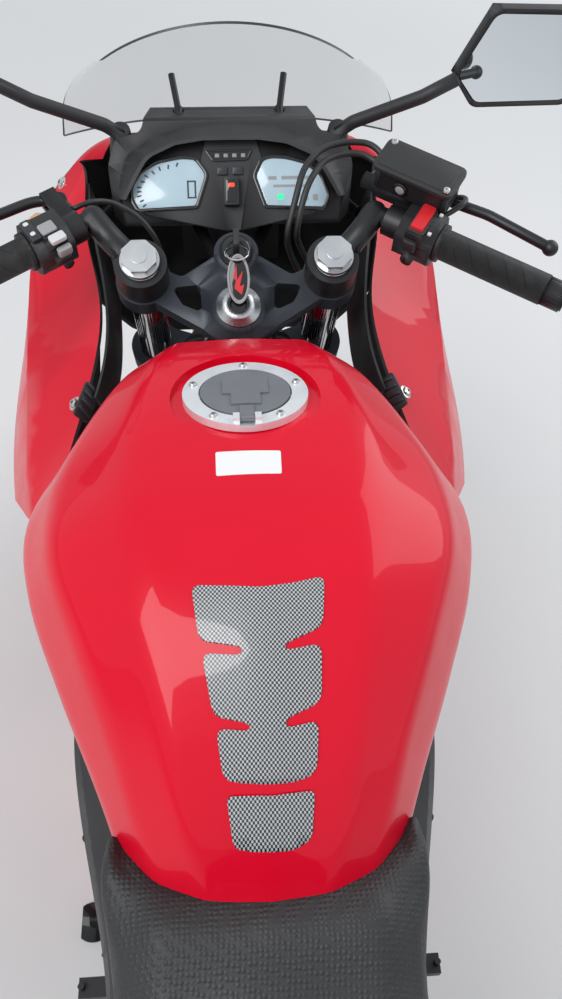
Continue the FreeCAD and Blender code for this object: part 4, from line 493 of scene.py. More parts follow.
NODE_FINISH = {
    "red paint": ("fuel_tank", "tail_cowl", "side_cowls", "nose_cowl", "front_fender"),
    "black plastic": ("cockpit_panel", "inner_panels", "left_switchgear", "right_switchgear",
                      "mirrors", "rear_fender", "side_covers", "instruments", "headlamp_housing"),
    "front tread": ("front_tyre",),
    "rear tread": ("rear_tyre",),
    "cooling fins": ("radiator",),
    "wheel black": ("front_rim", "rear_rim"),
    "disc steel": ("front_discs", "rear_disc"),
    "chain steel": ("chain", "rear_sprocket"),
    "fork chrome": ("fork_tubes", "front_axle", "rear_axle"),
    "fork silver": ("fork_caps", "fork_sliders", "stem_nuts"),
    "ring silver": ("cap_ring",),
    "bridge grey": ("top_bridge", "lower_bridge"),
    "black alloy": ("ignition_lock", "handlebars", "clutch_perch", "brake_master", "levers",
                    "front_calipers", "rear_caliper", "footrests", "pillion_pegs"),
    "grip rubber": ("grips",),
    "hose rubber": ("hoses",),
    "frame black": ("frame", "swingarm", "side_stand", "cowl_stay"),
    "engine grey": ("engine_block",),
    "cover bronze": ("engine_covers",),
    "pipe steel": ("exhaust_headers", "muffler"),
    "lid grey": ("fuel_lid",),
    "seat cover": ("rider_seat", "pillion_seat"),
    "screen": ("windscreen",),
    "lamp lens": ("headlamp_lens",),
    "mirror glass": ("mirror_glasses",),
    "tail red": ("tail_lamp",),
    "amber": ("indicators",),
    "spring": ("rear_shock",),
}


class BIKE_OT_finishes(bpy.types.Operator):
    """Mixes the paints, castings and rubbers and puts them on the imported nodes."""
    bl_idname = "bike.finishes"
    bl_label = "Finishes"

    def execute(self, context):
        for maker, name, *given in (
                (paint, "red paint", tuple(sizes().red), 0.35),
                (moulded, "black plastic", tuple(sizes().black)),
                (tread, "front tread", FRONT_AXLE, 60, 26),
                (tread, "rear tread", REAR_AXLE, 90, 24),
                (finned, "cooling fins", (0.06, 0.06, 0.06, 1), 4.5),
                (paint, "wheel black", (0.012, 0.012, 0.013, 1), 0.5, 0.35),
                (machined, "disc steel", (0.5, 0.5, 0.5, 1), 0.25),
                (machined, "chain steel", (0.2, 0.18, 0.15, 1), 0.35),
                (machined, "fork chrome", (0.6, 0.6, 0.6, 1), 0.1),
                (cast, "fork silver", (0.56, 0.57, 0.58, 1), 0.3),
                (cast, "ring silver", (0.82, 0.84, 0.86, 1), 0.36, 0.7),
                (cast, "bridge grey", (0.034, 0.04, 0.05, 1), 0.4, 0.4),
                (moulded, "screen edge", (0.03, 0.033, 0.036, 1), 0.3),
                (cast, "black alloy", (0.03, 0.03, 0.032, 1), 0.4, 0.6),
                (grip_rubber, "grip rubber", BAR_ELBOW, BAR_RUN),
                (grip_rubber, "right grip rubber", ACROSS_BIKE @ BAR_ELBOW, ACROSS_BIKE @ BAR_RUN),
                (rubber, "hose rubber", (0.012, 0.012, 0.012, 1), 0.45),
                (dotted_film, "pad weave"),
                (paint, "label white", (0.8, 0.8, 0.8, 1), 0.4, 0.35),
                (lit_display, "display", (0.46, 0.6, 0.68, 1), 0.05),
                (glowing, "display green", (0.02, 0.5, 0.22, 1), 1.2),
                (glowing, "lamp red", (0.9, 0.03, 0.01, 1), 2.5),
                (moulded, "ink", (0.02, 0.024, 0.03, 1), 0.4),
                (paint, "gloss black", (0.008, 0.008, 0.009, 1), 1.0, 0.2),
                (moulded, "switch red", (0.62, 0.015, 0.02, 1), 0.4),
                (moulded, "switch white", (0.62, 0.62, 0.62, 1), 0.42),
                (moulded, "switch grey", (0.3, 0.3, 0.31, 1), 0.45),
                (machined, "bolt steel", (0.62, 0.62, 0.6, 1), 0.16),
                (rubber, "cable black", (0.014, 0.014, 0.014, 1), 0.4),
                (paint, "frame black", (0.014, 0.014, 0.015, 1), 0.4, 0.4),
                (cast, "engine grey", (0.12, 0.115, 0.11, 1), 0.45, 0.8),
                (cast, "cover bronze", (0.2, 0.155, 0.12, 1), 0.38, 0.9),
                (machined, "pipe steel", (0.42, 0.39, 0.35, 1), 0.25),
                (cast, "lid grey", (0.19, 0.2, 0.215, 1), 0.42, 0.35),
                (seat_cover, "seat cover"),
                (clear, "screen", (0.4, 0.44, 0.46, 1), 0.1),
                (clear, "lamp lens", (0.8, 0.82, 0.84, 1), 0.3),
                (looking_glass, "mirror glass"),
                (paint, "tail red", (0.4, 0.01, 0.01, 1), 1.0, 0.15),
                (paint, "amber", (0.75, 0.28, 0.03, 1), 1.0, 0.2),
                (paint, "spring", (0.05, 0.05, 0.055, 1), 0.6, 0.3),
        ):
            FINISHES[name] = maker(name, *given)
        for name, nodes in NODE_FINISH.items():
            for node in nodes:
                covered(NODES[node], name)
        return {"FINISHED"}


SMOOTHED = ("tail_cowl", "side_cowls", "nose_cowl", "front_fender", "windscreen", "cockpit_panel",
            "instruments", "front_tyre", "rear_tyre", "front_rim", "rear_rim", "fork_tubes",
            "fork_sliders", "stem_nuts", "handlebars", "grips", "mirrors", "exhaust_headers",
            "muffler", "frame", "swingarm", "top_bridge", "lower_bridge", "engine_covers",
            "ignition_lock", "levers", "hoses", "side_covers", "inner_panels", "tail_lamp",
            "headlamp_lens", "brake_master", "clutch_perch", "left_switchgear", "right_switchgear",
            "side_stand", "indicators", "rear_shock")


# Panels that are black inside, in metres on the upright bike.
LINED = ("side_cowls", "nose_cowl")
NOSE_MIDDLE = Vector((0.6, 0, 0.93))
INNER_SHARE = 0.12
# The screen's edge shows through no more wall than this.
SCREEN_RIM = 0.006
JUST_INSIDE = 0.0001
WELD_GAP = 0.00002


class BIKE_OT_skins(bpy.types.Operator):
    """Round-shaded skins over the nodes whose faces curve."""
    bl_idname = "bike.skins"
    bl_label = "Smooth skins"

    def execute(self, context):
        for name in SMOOTHED:
            skin = loose_copy(name, name + "_skin")
            shape = bmesh.new()
            shape.from_mesh(skin.data)
            bmesh.ops.remove_doubles(shape, verts=shape.verts, dist=WELD_GAP)
            shape.to_mesh(skin.data)
            shape.free()
            chosen(skin)
            bpy.ops.object.shade_smooth_by_angle(angle=sizes().smooth_angle, keep_sharp_edges=False)
            if name in NODE_FINISH["red paint"] + NODE_FINISH["screen"]:
                finished(skin, "WEIGHTED_NORMAL", keep_sharp=True)
            if name in LINED:
                skin.data.materials.append(FINISHES["black plastic"])
                for face in skin.data.polygons:
                    middle = BACK_UPRIGHT @ face.center
                    way = (BACK_UPRIGHT.to_3x3() @ face.normal).normalized()
                    inwards = Vector((NOSE_MIDDLE.x - middle.x, -middle.y,
                                      NOSE_MIDDLE.z - middle.z))
                    if name == "side_cowls":
                        inwards = Vector((0, -middle.y, 0))
                    face.material_index = int(way.dot(inwards.normalized()) > INNER_SHARE)
            if name == "windscreen":
                skin.data.materials.append(FINISHES["screen edge"])
                for face in skin.data.polygons:
                    start = face.center - face.normal * JUST_INSIDE
                    hit, at = skin.ray_cast(start, -face.normal)[:2]
                    face.material_index = int(hit and (at - face.center).length > SCREEN_RIM)
            if name == "grips":
                skin.data.materials.append(FINISHES["right grip rubber"])
                for face in skin.data.polygons:
                    face.material_index = int(face.center.y < STEER_AT_Y)
            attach(skin, NODES[name]["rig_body"])
            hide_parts(name)
        return {"FINISHED"}


def cleared():
    """Leaves edit mode and deselects everything."""
    if bpy.context.object and bpy.context.object.mode != "OBJECT":
        bpy.ops.object.mode_set(mode="OBJECT")
    bpy.ops.object.select_all(action="DESELECT")


def chosen(piece):
    """Makes a piece the only selected and the active one."""
    cleared()
    piece.select_set(True)
    bpy.context.view_layer.objects.active = piece
    return piece


def finished(piece, kind, **settings):
    """Adds a modifier to a piece and applies it."""
    chosen(piece)
    modifier = piece.modifiers.new(kind.lower(), kind)
    for key, setting in settings.items():
        setattr(modifier, key, setting)
    bpy.ops.object.modifier_apply(modifier=modifier.name)
    return piece


def twin(piece):
    """A copy with its own mesh."""
    other = piece.copy()
    other.data = piece.data.copy()
    bpy.context.scene.collection.objects.link(other)
    return other


def loose_copy(name, label):
    """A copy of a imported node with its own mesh, free of the node's ties."""
    copy = twin(NODES[name])
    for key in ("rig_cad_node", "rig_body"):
        if key in copy:
            del copy[key]
    copy.parent = None
    copy.name = label
    return copy


def carved(piece, cutter, operation="DIFFERENCE"):
    """Cuts a piece by another one, which is used up."""
    finished(piece, "BOOLEAN", object=cutter, operation=operation, solver="EXACT")
    bpy.data.objects.remove(cutter)
    return piece


def swollen(piece, by):
    """Moves a piece's surface outwards, or inwards."""
    return finished(piece, "DISPLACE", strength=by, mid_level=0)


def faced_out():
    """Turns the edited piece's faces outwards and leaves edit mode."""
    bpy.ops.mesh.select_all(action="SELECT")
    bpy.ops.mesh.normals_make_consistent(inside=False)
    bpy.ops.object.mode_set(mode="OBJECT")


def settled(piece, name, place, body, look, round_angle=34):
    """Puts a piece that is modelled in millimetres in its local grid on the parked bike."""
    chosen(piece)
    bpy.ops.object.transform_apply(location=True, rotation=True, scale=True)
    piece.data.transform(PARKED @ Matrix.Scale(MM, 4) @ place)
    if place.determinant() < 0:
        piece.data.flip_normals()
    piece.name = name
    piece.data.name = name
    covered(piece, look)
    bpy.ops.object.shade_smooth_by_angle(angle=math.radians(round_angle), keep_sharp_edges=False)
    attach(piece, body)
    return piece


CORNER_STEPS = 6
RUN_STEPS = 3
RING_STEPS = 7
# A rounded corner takes up no more than this share of the shorter run beside it.
CORNER_SHARE = 0.45
LEAST_CORNER_SHARE = 0.2


def corner_curve(start, corner, end):
    """Points round one corner."""
    shares = [step / (CORNER_STEPS - 1) for step in range(CORNER_STEPS)]
    return [start * (1 - share) ** 2 + corner * 2 * share * (1 - share) + end * share ** 2
            for share in shares]


def rounded(outline, radius):
    """The outline with its corners rounded off, less where a run is short."""
    made = []
    for index, corner in enumerate(outline):
        corner = Vector(corner)
        back = Vector(outline[index - 1]) - corner
        ahead = Vector(outline[(index + 1) % len(outline)]) - corner
        start = corner + back.normalized() * min(radius, CORNER_SHARE * back.length)
        end = corner + ahead.normalized() * min(radius, CORNER_SHARE * ahead.length)
        made += corner_curve(start, corner, end)
    return made


def prism(outline, low, high, rim=0.6, corner=0.0, lip=0.0, sunk=0.0):
    """A plate over an outline, with rounded corners, softened rims and, with a lip, a sunk face."""
    cleared()
    if corner:
        outline = rounded(outline, corner)
    bpy.ops.mesh.primitive_circle_add(vertices=len(outline), radius=1, fill_type="NGON")
    piece = bpy.context.object
    for vertex, (x, y) in zip(piece.data.vertices, outline):
        vertex.co = (x, y, low)
    bpy.ops.object.mode_set(mode="EDIT")
    bpy.ops.mesh.select_all(action="SELECT")
    bpy.ops.mesh.extrude_region_move(TRANSFORM_OT_translate={"value": (0, 0, high - low)})
    if lip:
        bpy.ops.mesh.inset(thickness=lip, depth=0)
        bpy.ops.mesh.extrude_region_move(TRANSFORM_OT_translate={"value": (0, 0, -sunk)})
    faced_out()
    if rim:
        finished(piece, "BEVEL", width=rim, segments=2, limit_method="ANGLE",
                 angle_limit=math.radians(40))
    return piece


def turned(profile, sides=28):
    """A round piece about the grid's Z from its (radius, height) profile."""
    cleared()
    radius, height = profile[0]
    bpy.ops.mesh.primitive_circle_add(vertices=sides, radius=radius, fill_type="NGON",
                                      location=(0, 0, height))
    bpy.ops.object.transform_apply(location=True, rotation=False, scale=False)
    piece = bpy.context.object
    bpy.ops.object.mode_set(mode="EDIT")
    bpy.ops.mesh.select_all(action="SELECT")
    for (before, low), (after, high) in zip(profile, profile[1:]):
        bpy.ops.mesh.extrude_region_move(TRANSFORM_OT_translate={"value": (0, 0, high - low)})
        scale = after / before
        bpy.ops.transform.resize(value=(scale, scale, 1), center_override=(0, 0, high))
    faced_out()
    return piece


def wire(points, radius):
    """A smooth round cable along its points."""
    cleared()
    bpy.ops.curve.primitive_nurbs_path_add()
    path = bpy.context.object
    path.data.splines.clear()
    spline = path.data.splines.new("NURBS")
    spline.points.add(len(points) - 1)
    for knot, at in zip(spline.points, points):
        knot.co = (at[0], at[1], at[2], 1)
    spline.order_u = 3
    spline.use_endpoint_u = True
    path.data.resolution_u = 6
    path.data.bevel_depth = radius
    path.data.bevel_resolution = 3
    path.data.use_fill_caps = True
    bpy.ops.object.convert(target="MESH")
    return bpy.context.object


def rectangle(x_low, x_high, y_low, y_high):
    """An upright rectangle's four corners."""
    return (x_low, y_low), (x_high, y_low), (x_high, y_high), (x_low, y_high)


# Cross-sections of the tank: x, and half an outline from the ridge to the middle of the floor
# as (across, height).
TANK = (
    (300, ((0, 984), (70, 980), (96, 960), (108, 925), (100, 880), (84, 852), (0, 852))),
    (255, ((0, 1004), (88, 1000), (128, 970), (146, 925), (138, 868), (112, 835), (0, 835))),
    (180, ((0, 1022), (102, 1016), (162, 972), (192, 918), (186, 850), (150, 815), (0, 815))),
    (110, ((0, 1030), (106, 1024), (180, 976), (222, 912), (214, 836), (176, 796), (0, 796))),
    (30, ((0, 1032), (104, 1026), (178, 982), (212, 905), (200, 820), (172, 778), (0, 778))),
    (-50, ((0, 1018), (92, 1010), (152, 966), (182, 885), (176, 800), (158, 762), (0, 762))),
    (-130, ((0, 972), (78, 962), (122, 920), (147, 850), (146, 780), (138, 748), (0, 748))),
    (-190, ((0, 916), (66, 906), (102, 868), (122, 818), (126, 762), (120, 738), (0, 738))),
    (-240, ((0, 846), (48, 838), (78, 812), (98, 780), (106, 750), (100, 736), (0, 736))),
)
TANK_CORNER = 26
TANK_RIM = 9
# Cuts under the filler ring: radius, foot and top along the ring's axis, and sides.
WELL = (72, -6, 60, 72)
THROAT = (30, -34, 10, 48)
# The same for the rider's seat, whose front corners reach ahead along both sides of the tank.
SEAT = (
    (-166, ((0, 800), (96, 806), (126, 852), (136, 846), (134, 790), (120, 756), (0, 756))),
    (-205, ((0, 832), (96, 838), (132, 856), (143, 842), (138, 776), (124, 750), (0, 750))),
    (-250, ((0, 856), (92, 854), (132, 838), (142, 816), (136, 768), (122, 744), (0, 744))),
    (-300, ((0, 836), (92, 834), (132, 812), (140, 790), (130, 760), (120, 744), (0, 744))),
    (-360, ((0, 820), (92, 818), (132, 796), (137, 776), (122, 748), (116, 744), (0, 744))),
    (-440, ((0, 820), (92, 820), (130, 800), (134, 780), (120, 756), (114, 752), (0, 752))),
    (-520, ((0, 842), (88, 842), (116, 824), (118, 804), (104, 772), (100, 768), (0, 768))),
)
SEAT_CORNER = 18
SEAT_RIM = 4
SEAT_TO_TANK = 1.2


def rounded_ring(x, half, radius):
    """Points round one cross-section, its corners rounded."""
    corners = [Vector((x, across, height)) for across, height in half]
    corners += [Vector((x, -across, height)) for across, height in reversed(half) if across > 0]
    count = len(corners)
    ends = []
    for index, corner in enumerate(corners):
        back = corners[index - 1] - corner
        ahead = corners[(index + 1) % count] - corner
        half_angle = back.angle(ahead) / 2
        shorter = min(back.length, ahead.length)
        reach = min(radius / max(math.tan(half_angle), 0.001), CORNER_SHARE * shorter)
        reach = max(reach, LEAST_CORNER_SHARE * shorter)
        ends.append((corner + back.normalized() * reach, corner,
                     corner + ahead.normalized() * reach))
    ring = []
    for index, (start, corner, end) in enumerate(ends):
        ring += corner_curve(start, corner, end)
        following = ends[(index + 1) % count][0]
        for step in range(1, RUN_STEPS + 1):
            ring.append(end.lerp(following, step / (RUN_STEPS + 1)))
    return ring


def eased(rings, places, x):
    """The ring at one place between the cross-sections, smooth along the bike."""
    last = len(places) - 1
    index = max(step for step in range(last) if places[step] >= x - 0.001)
    span = places[index + 1] - places[index]
    share = (x - places[index]) / span
    made = []
    for column in range(len(rings[0])):
        here = rings[index][column]
        there = rings[index + 1][column]

        def slope(at):
            low = max(at - 1, 0)
            high = min(at + 1, last)
            return (rings[high][column] - rings[low][column]) / (places[high] - places[low]) * span

        start = slope(index)
        end = slope(index + 1)
        cube = share ** 3
        square = share ** 2
        made.append(here * (2 * cube - 3 * square + 1) + start * (cube - 2 * square + share)
                    + there * (3 * square - 2 * cube) + end * (cube - square))
    return made


def lofted(stations, radius, rim):
    """A clean closed shell through cross-sections, its two ends softened."""
    places = [x for x, half in stations]
    rings = [rounded_ring(x, half, radius) for x, half in stations]
    shelf = []
    for start, end in zip(places, places[1:]):
        shelf += [eased(rings, places, start + (end - start) * step / RING_STEPS)
                  for step in range(RING_STEPS)]
    shelf.append(rings[-1])
    columns = len(rings[0])
    cleared()
    bpy.ops.mesh.primitive_grid_add(x_subdivisions=columns, y_subdivisions=len(shelf) - 1)
    skin = bpy.context.object
    across = columns + 1
    for index, vertex in enumerate(skin.data.vertices):
        vertex.co = shelf[index // across][index % across % columns]
    bpy.ops.object.mode_set(mode="EDIT")
    bpy.ops.mesh.select_all(action="SELECT")
    bpy.ops.mesh.remove_doubles(threshold=0.01)
    bpy.ops.mesh.select_all(action="DESELECT")
    bpy.ops.mesh.select_non_manifold()
    bpy.ops.mesh.fill_holes(sides=0)
    faced_out()
    return finished(skin, "BEVEL", width=rim, segments=4, limit_method="ANGLE",
                    angle_limit=math.radians(60))


def tank_skin():
    """The tank's body, with its well for the filler ring."""
    skin = lofted(TANK, TANK_CORNER, TANK_RIM)
    for radius, foot, top, sides in (WELL, THROAT):
        cutter = turned(((radius, foot), (radius, top)), sides)
        cutter.data.transform(CAP)
        carved(skin, cutter)
    return skin


class BIKE_OT_tank(bpy.types.Operator):
    """The tank's painted shell, with its well cut for the filler ring."""
    bl_idname = "bike.tank"
    bl_label = "Tank"

    def execute(self, context):
        skin = settled(tank_skin(), "tank_shell", UPRIGHT, "root", "red paint", 40)
        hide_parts("fuel_tank")
        return {"FINISHED"}


PAD = ((-35, 53), (-38, 25), (-41, -2), (-38, -29), (-32, -55), (-70, -51), (-82, -20), (-87, -20),
       (-82, -49), (-120, -47), (-131, -18), (-137, -18), (-132, -44), (-164, -41), (-169, -22),
       (-170, -2), (-168, 17), (-165, 33), (-134, 37), (-138, 11), (-133, 10), (-126, 39),
       (-85, 46), (-89, 15), (-83, 14), (-76, 48))
PAD_FOOT = ((-175, 31), (-177, -5), (-174, -39), (-201, -36), (-207, -22), (-208, -4), (-207, 12),
            (-204, 27))
LABEL = ((98, 30), (97, -28), (69, -27), (69, 30))
BELOW_FILM = 800
ABOVE_FILM = 1100
FILM_SUNK = 0.4


class BIKE_OT_tank_film(bpy.types.Operator):
    """The dotted protection pad and the blank label that lie on the tank."""
    bl_idname = "bike.tank_film"
    bl_label = "Tank pad and label"

    def execute(self, context):
        for name, outline, proud, look, corner in (("tank_pad", PAD, 1.6, "pad weave", 8),
                                                   ("tank_pad_foot", PAD_FOOT, 1.6, "pad weave", 5),
                                                   ("tank_label", LABEL, 0.5, "label white", 2)):
            over = swollen(tank_skin(), proud)
            film = carved(prism(outline, BELOW_FILM, ABOVE_FILM, 0, corner), over, "INTERSECT")
            carved(film, swollen(tank_skin(), -FILM_SUNK))
            settled(film, name, UPRIGHT, "root", look, 50)
        return {"FINISHED"}


# Metres: the cushions start this much smaller and may swell by no more than that.
SEAT_SLACK = 0.004
SEAT_SWELL = 0.006
SEAT_WELD = 0.0001
CLOTH_FRAMES = 20
CLOTH_PRESSURE = 4


class BIKE_OT_seats(bpy.types.Operator):
    """Rider's and pillion's cushions, blown up from slightly smaller shapes."""
    bl_idname = "bike.seats"
    bl_label = "Seats"

    def execute(self, context):
        scene = context.scene
        for name, voxel in (("rider_seat", 0.0045), ("pillion_seat", 0.006)):
            if name == "rider_seat":
                cushion = lofted(SEAT, SEAT_CORNER, SEAT_RIM)
                carved(cushion, swollen(lofted(TANK, TANK_CORNER, TANK_RIM), SEAT_TO_TANK))
                cushion.data.transform(PARKED @ Matrix.Scale(MM, 4))
            else:
                cushion = loose_copy(name, name + "_cushion")
            cushion.name = cushion.data.name = name + "_cushion"
            finished(cushion, "WELD", merge_threshold=SEAT_WELD)
            finished(cushion, "REMESH", mode="VOXEL", voxel_size=voxel)
            swollen(cushion, -SEAT_SLACK)
            cloth = cushion.modifiers.new("cloth", "CLOTH")
            cloth.settings.quality = 5
            cloth.settings.use_pressure = True
            cloth.settings.uniform_pressure_force = CLOTH_PRESSURE
            cloth.settings.effector_weights.gravity = 0
            for moment in range(1, CLOTH_FRAMES + 1):
                scene.frame_set(moment)
            seen = cushion.evaluated_get(context.evaluated_depsgraph_get())
            swelled = [vertex.co.copy() for vertex in seen.data.vertices]
            cushion.modifiers.remove(cloth)
            for vertex, moved in zip(cushion.data.vertices, swelled):
                step = moved - vertex.co
                if step.length > SEAT_SWELL:
                    step = step.normalized() * SEAT_SWELL
                vertex.co += step
            scene.frame_set(1)
            finished(cushion, "SMOOTH", factor=0.5, iterations=4)
            finished(cushion, "SUBSURF", levels=1, render_levels=1)
            covered(cushion, "seat cover")
            chosen(cushion)
            bpy.ops.object.shade_smooth()
            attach(cushion, "root")
            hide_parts(name)
        return {"FINISHED"}


LEFT_GLASS = ((3.7, 119), (-8.7, 119.6), (-22.2, 112.6), (-19.2, 45.5), (14, 33.3), (19.9, 33.9),
              (34.9, 45.4), (35.2, 62.5), (30.2, 88.5), (19.3, 108.3))
RIGHT_GLASS = ((14.7, -29.6), (-19.9, -41.6), (-23.2, -109.6), (-8.5, -115.6), (14.8, -106),
               (27.6, -88.8), (33.3, -67.2), (35.2, -49.8), (32.5, -38.8))
LAMP_PANEL = ((44.6, 28.6), (32.9, 19.6), (34, -17.2), (45.2, -23.2))
# Heights over the dash: where its pieces start, the glasses end, and the marks on them lie.
POD_FOOT = POD_OUT - 1
GLASS_TOP = POD_OUT + 1.2
MARK_FOOT = POD_OUT + 1
MARK_TOP = POD_OUT + 1.5
BOX_TOP = POD_OUT + 13
WARNING_LAMPS = 4
REV_MARKS = 11
REV_MIDDLE = Vector((2, 78))
REV_MARK = ((0, -1.1), (5, -0.8), (5, 0.8), (0, 1.1))
DIGIT_STROKES = (("top", 8.6, 10.4, 44, 54), ("bottom", -10.4, -8.6, 44, 54),
                 ("left", -10.4, 10.4, 52.4, 54.4), ("right", -10.4, 10.4, 43.6, 45.6))
DISPLAY_BARS = ((10, 14, -100, -60), (10, 14, -54, -44), (1, 4, -92, -50), (-15, -8, -104, -98),
                (-15, -8, -92, -82))
CHARGER = (
    ("charger_box", rectangle(-21, 13, -8, 10.4), POD_FOOT, BOX_TOP, 1.6, 2.5, "black plastic"),
    ("charger_face", rectangle(-17, 9, -5.4, 7.8), BOX_TOP - 1, BOX_TOP + 0.6, 0.4, 2, "gloss black"),
    ("charger_lamp", rectangle(0, 4.4, -2.4, 4.8), BOX_TOP, BOX_TOP + 1.6, 0.4, 1.6, "lamp red"),
)


def grown(outline, more):
    """An outline moved out from its middle by about a width."""
    middle = sum((Vector(corner) for corner in outline), Vector((0, 0))) / len(outline)
    return [tuple(Vector(corner) + (Vector(corner) - middle).normalized() * more)
            for corner in outline]


def between(outline, share):
    """A point along a run of corners, share of the way from the first to the last."""
    place = share * (len(outline) - 1)
    index = min(int(place), len(outline) - 2)
    return Vector(outline[index]).lerp(Vector(outline[index + 1]), place - index)


def plates(rows, grid, body):
    """Small flat pieces: name, outline, foot, top, rim, corner and finish of each."""
    for name, outline, foot, top, rim, corner, look in rows:
        settled(prism(outline, foot, top, rim, corner), name, grid, body, look)


class BIKE_OT_gauges(bpy.types.Operator):
    """Displays in their bezels, warning lamps, buttons and the small lit box on the dash."""
    bl_idname = "bike.gauges"
    bl_label = "Gauges"

    def execute(self, context):
        for name, glass in (("left", LEFT_GLASS), ("right", RIGHT_GLASS)):
            bezel = prism(grown(glass, 5), POD_FOOT, POD_OUT + 3, 0.8, 5, 4, 2.2)
            settled(bezel, name + "_bezel", FACE, "root", "gloss black")
            display = prism(glass, POD_FOOT, GLASS_TOP, 0.3, 4)
            settled(display, name + "_display", FACE, "root", "display")
        lamps = prism(grown(LAMP_PANEL, 3), POD_FOOT, POD_OUT + 2.2, 0.6, 3, 2, 1)
        settled(lamps, "lamp_panel", FACE, "root", "gloss black")
        rows = []
        for index in range(WARNING_LAMPS):
            across = 17 - 10.5 * index
            lens = rectangle(36.5, 41, across - 2.6, across + 2.6)
            rows.append(("warning_lamp_%d" % index, lens, POD_OUT, POD_OUT + 1.6, 0.3, 1,
                         "switch grey"))
        for index, low in enumerate((5.1, -13.5)):
            button = rectangle(16.2, 25.4, low, low + 12.6)
            rows.append(("dash_button_%d" % index, button, POD_FOOT, POD_OUT + 3, 0.9, 1.5, "ink"))
        mark_run = LEFT_GLASS[2:0:-1] + LEFT_GLASS[:1] + LEFT_GLASS[:6:-1]
        for index in range(REV_MARKS):
            at = between(mark_run, index / (REV_MARKS - 1)).lerp(REV_MIDDLE, 0.12)
            way = (REV_MIDDLE - at).normalized()
            side = Vector((-way.y, way.x))
            corners = [tuple(at + way * ahead + side * across) for ahead, across in REV_MARK]
            rows.append(("rev_mark_%d" % index, corners, MARK_FOOT, MARK_TOP, 0, 0, "ink"))
        for name, *sides in DIGIT_STROKES:
            rows.append(("speed_digit_" + name, rectangle(*sides), MARK_FOOT, MARK_TOP, 0, 0,
                         "ink"))
        rows.append(("green_lamp", rectangle(-14, -7, -62, -55), MARK_FOOT, POD_OUT + 1.6, 0, 1,
                     "display green"))
        for index, sides in enumerate(DISPLAY_BARS):
            rows.append(("display_bar_%d" % index, rectangle(*sides), MARK_FOOT, MARK_TOP, 0, 0,
                         "switch grey"))
        plates(rows + list(CHARGER), FACE, "root")
        return {"FINISHED"}


# On the top bridge: the lock ahead of the stem, with the key ring and the fob hanging back from it.
LOCK_AHEAD = 66
LOCK_TOP = BRIDGE_TOP + 12
LOCK_RING = ((15.5, -1), (15.5, 1.2), (13.4, 2.4), (9.4, 2.4), (9, 1))
STEM_CUP = ((11.6, 8), (11.6, 11.4), (9.5, 11.8), (8, 9))
FOB_STEPS = 28
FOB_TURNS = [math.tau * step / FOB_STEPS for step in range(FOB_STEPS)]
FOB_OVAL = [(27 * math.cos(turn), 12.5 * math.sin(turn)) for turn in FOB_TURNS]
FOB_FLASH = ((-17, -3), (-6, -6), (-8, -1), (9, -5), (-1, 1.5), (16, 2), (2, 6), (-2, 3), (-10, 5))


def tipped(at, degrees):
    """A local grid on the steering, tipped about the bike's width."""
    return STEERING @ Matrix.Translation(at) @ Matrix.Rotation(math.radians(degrees), 4, "Y")


class BIKE_OT_key(bpy.types.Operator):
    """The key in its lock with a ring and an oval fob that rests on the stem nut."""
    bl_idname = "bike.key"
    bl_label = "Key and fob"

    def execute(self, context):
        lock = STEERING @ Matrix.Translation((LOCK_AHEAD, 0, LOCK_TOP))
        settled(turned(LOCK_RING), "lock_ring", lock, "steering", "gloss black")
        stem = STEERING @ Matrix.Translation((0, 0, BRIDGE_TOP))
        settled(turned(STEM_CUP), "stem_cup", stem, "steering", "gloss black")
        blade = prism(rectangle(-9, 9, -1.3, 1.3), 0, 16, 0.5)
        settled(blade, "key_blade", lock, "steering", "bolt steel")
        on_edge = lock @ grid_at(Vector((0, 0, 0)), Vector((0, 0, 1)), Vector((1, 0, 0)), ACROSS)
        head = prism(rectangle(8, 30, -11, 11), -3.4, 3.4, 1.4, 5)
        settled(head, "key_head", on_edge, "steering", "black plastic")
        cleared()
        bpy.ops.mesh.primitive_torus_add(major_radius=13, minor_radius=1.1, major_segments=40,
                                         minor_segments=8)
        hung = tipped(Vector((52, 0, LOCK_TOP + 17)), 28)
        settled(context.object, "key_ring", hung, "steering", "fork chrome")
        laid = tipped(Vector((25, -1, LOCK_TOP + 9)), -22)
        rim = prism(FOB_OVAL, -2.2, 2.2, 1.1, 0, 2.2, 0.7)
        settled(rim, "fob_rim", laid, "steering", "switch grey")
        inner = [(x * 0.84, y * 0.78) for x, y in FOB_OVAL]
        plates([("fob_face", inner, -2.4, 2.0, 0.3, 0, "gloss black"),
                ("fob_flash", FOB_FLASH, 1.8, 2.5, 0, 0, "switch red")], laid, "steering")
        return {"FINISHED"}


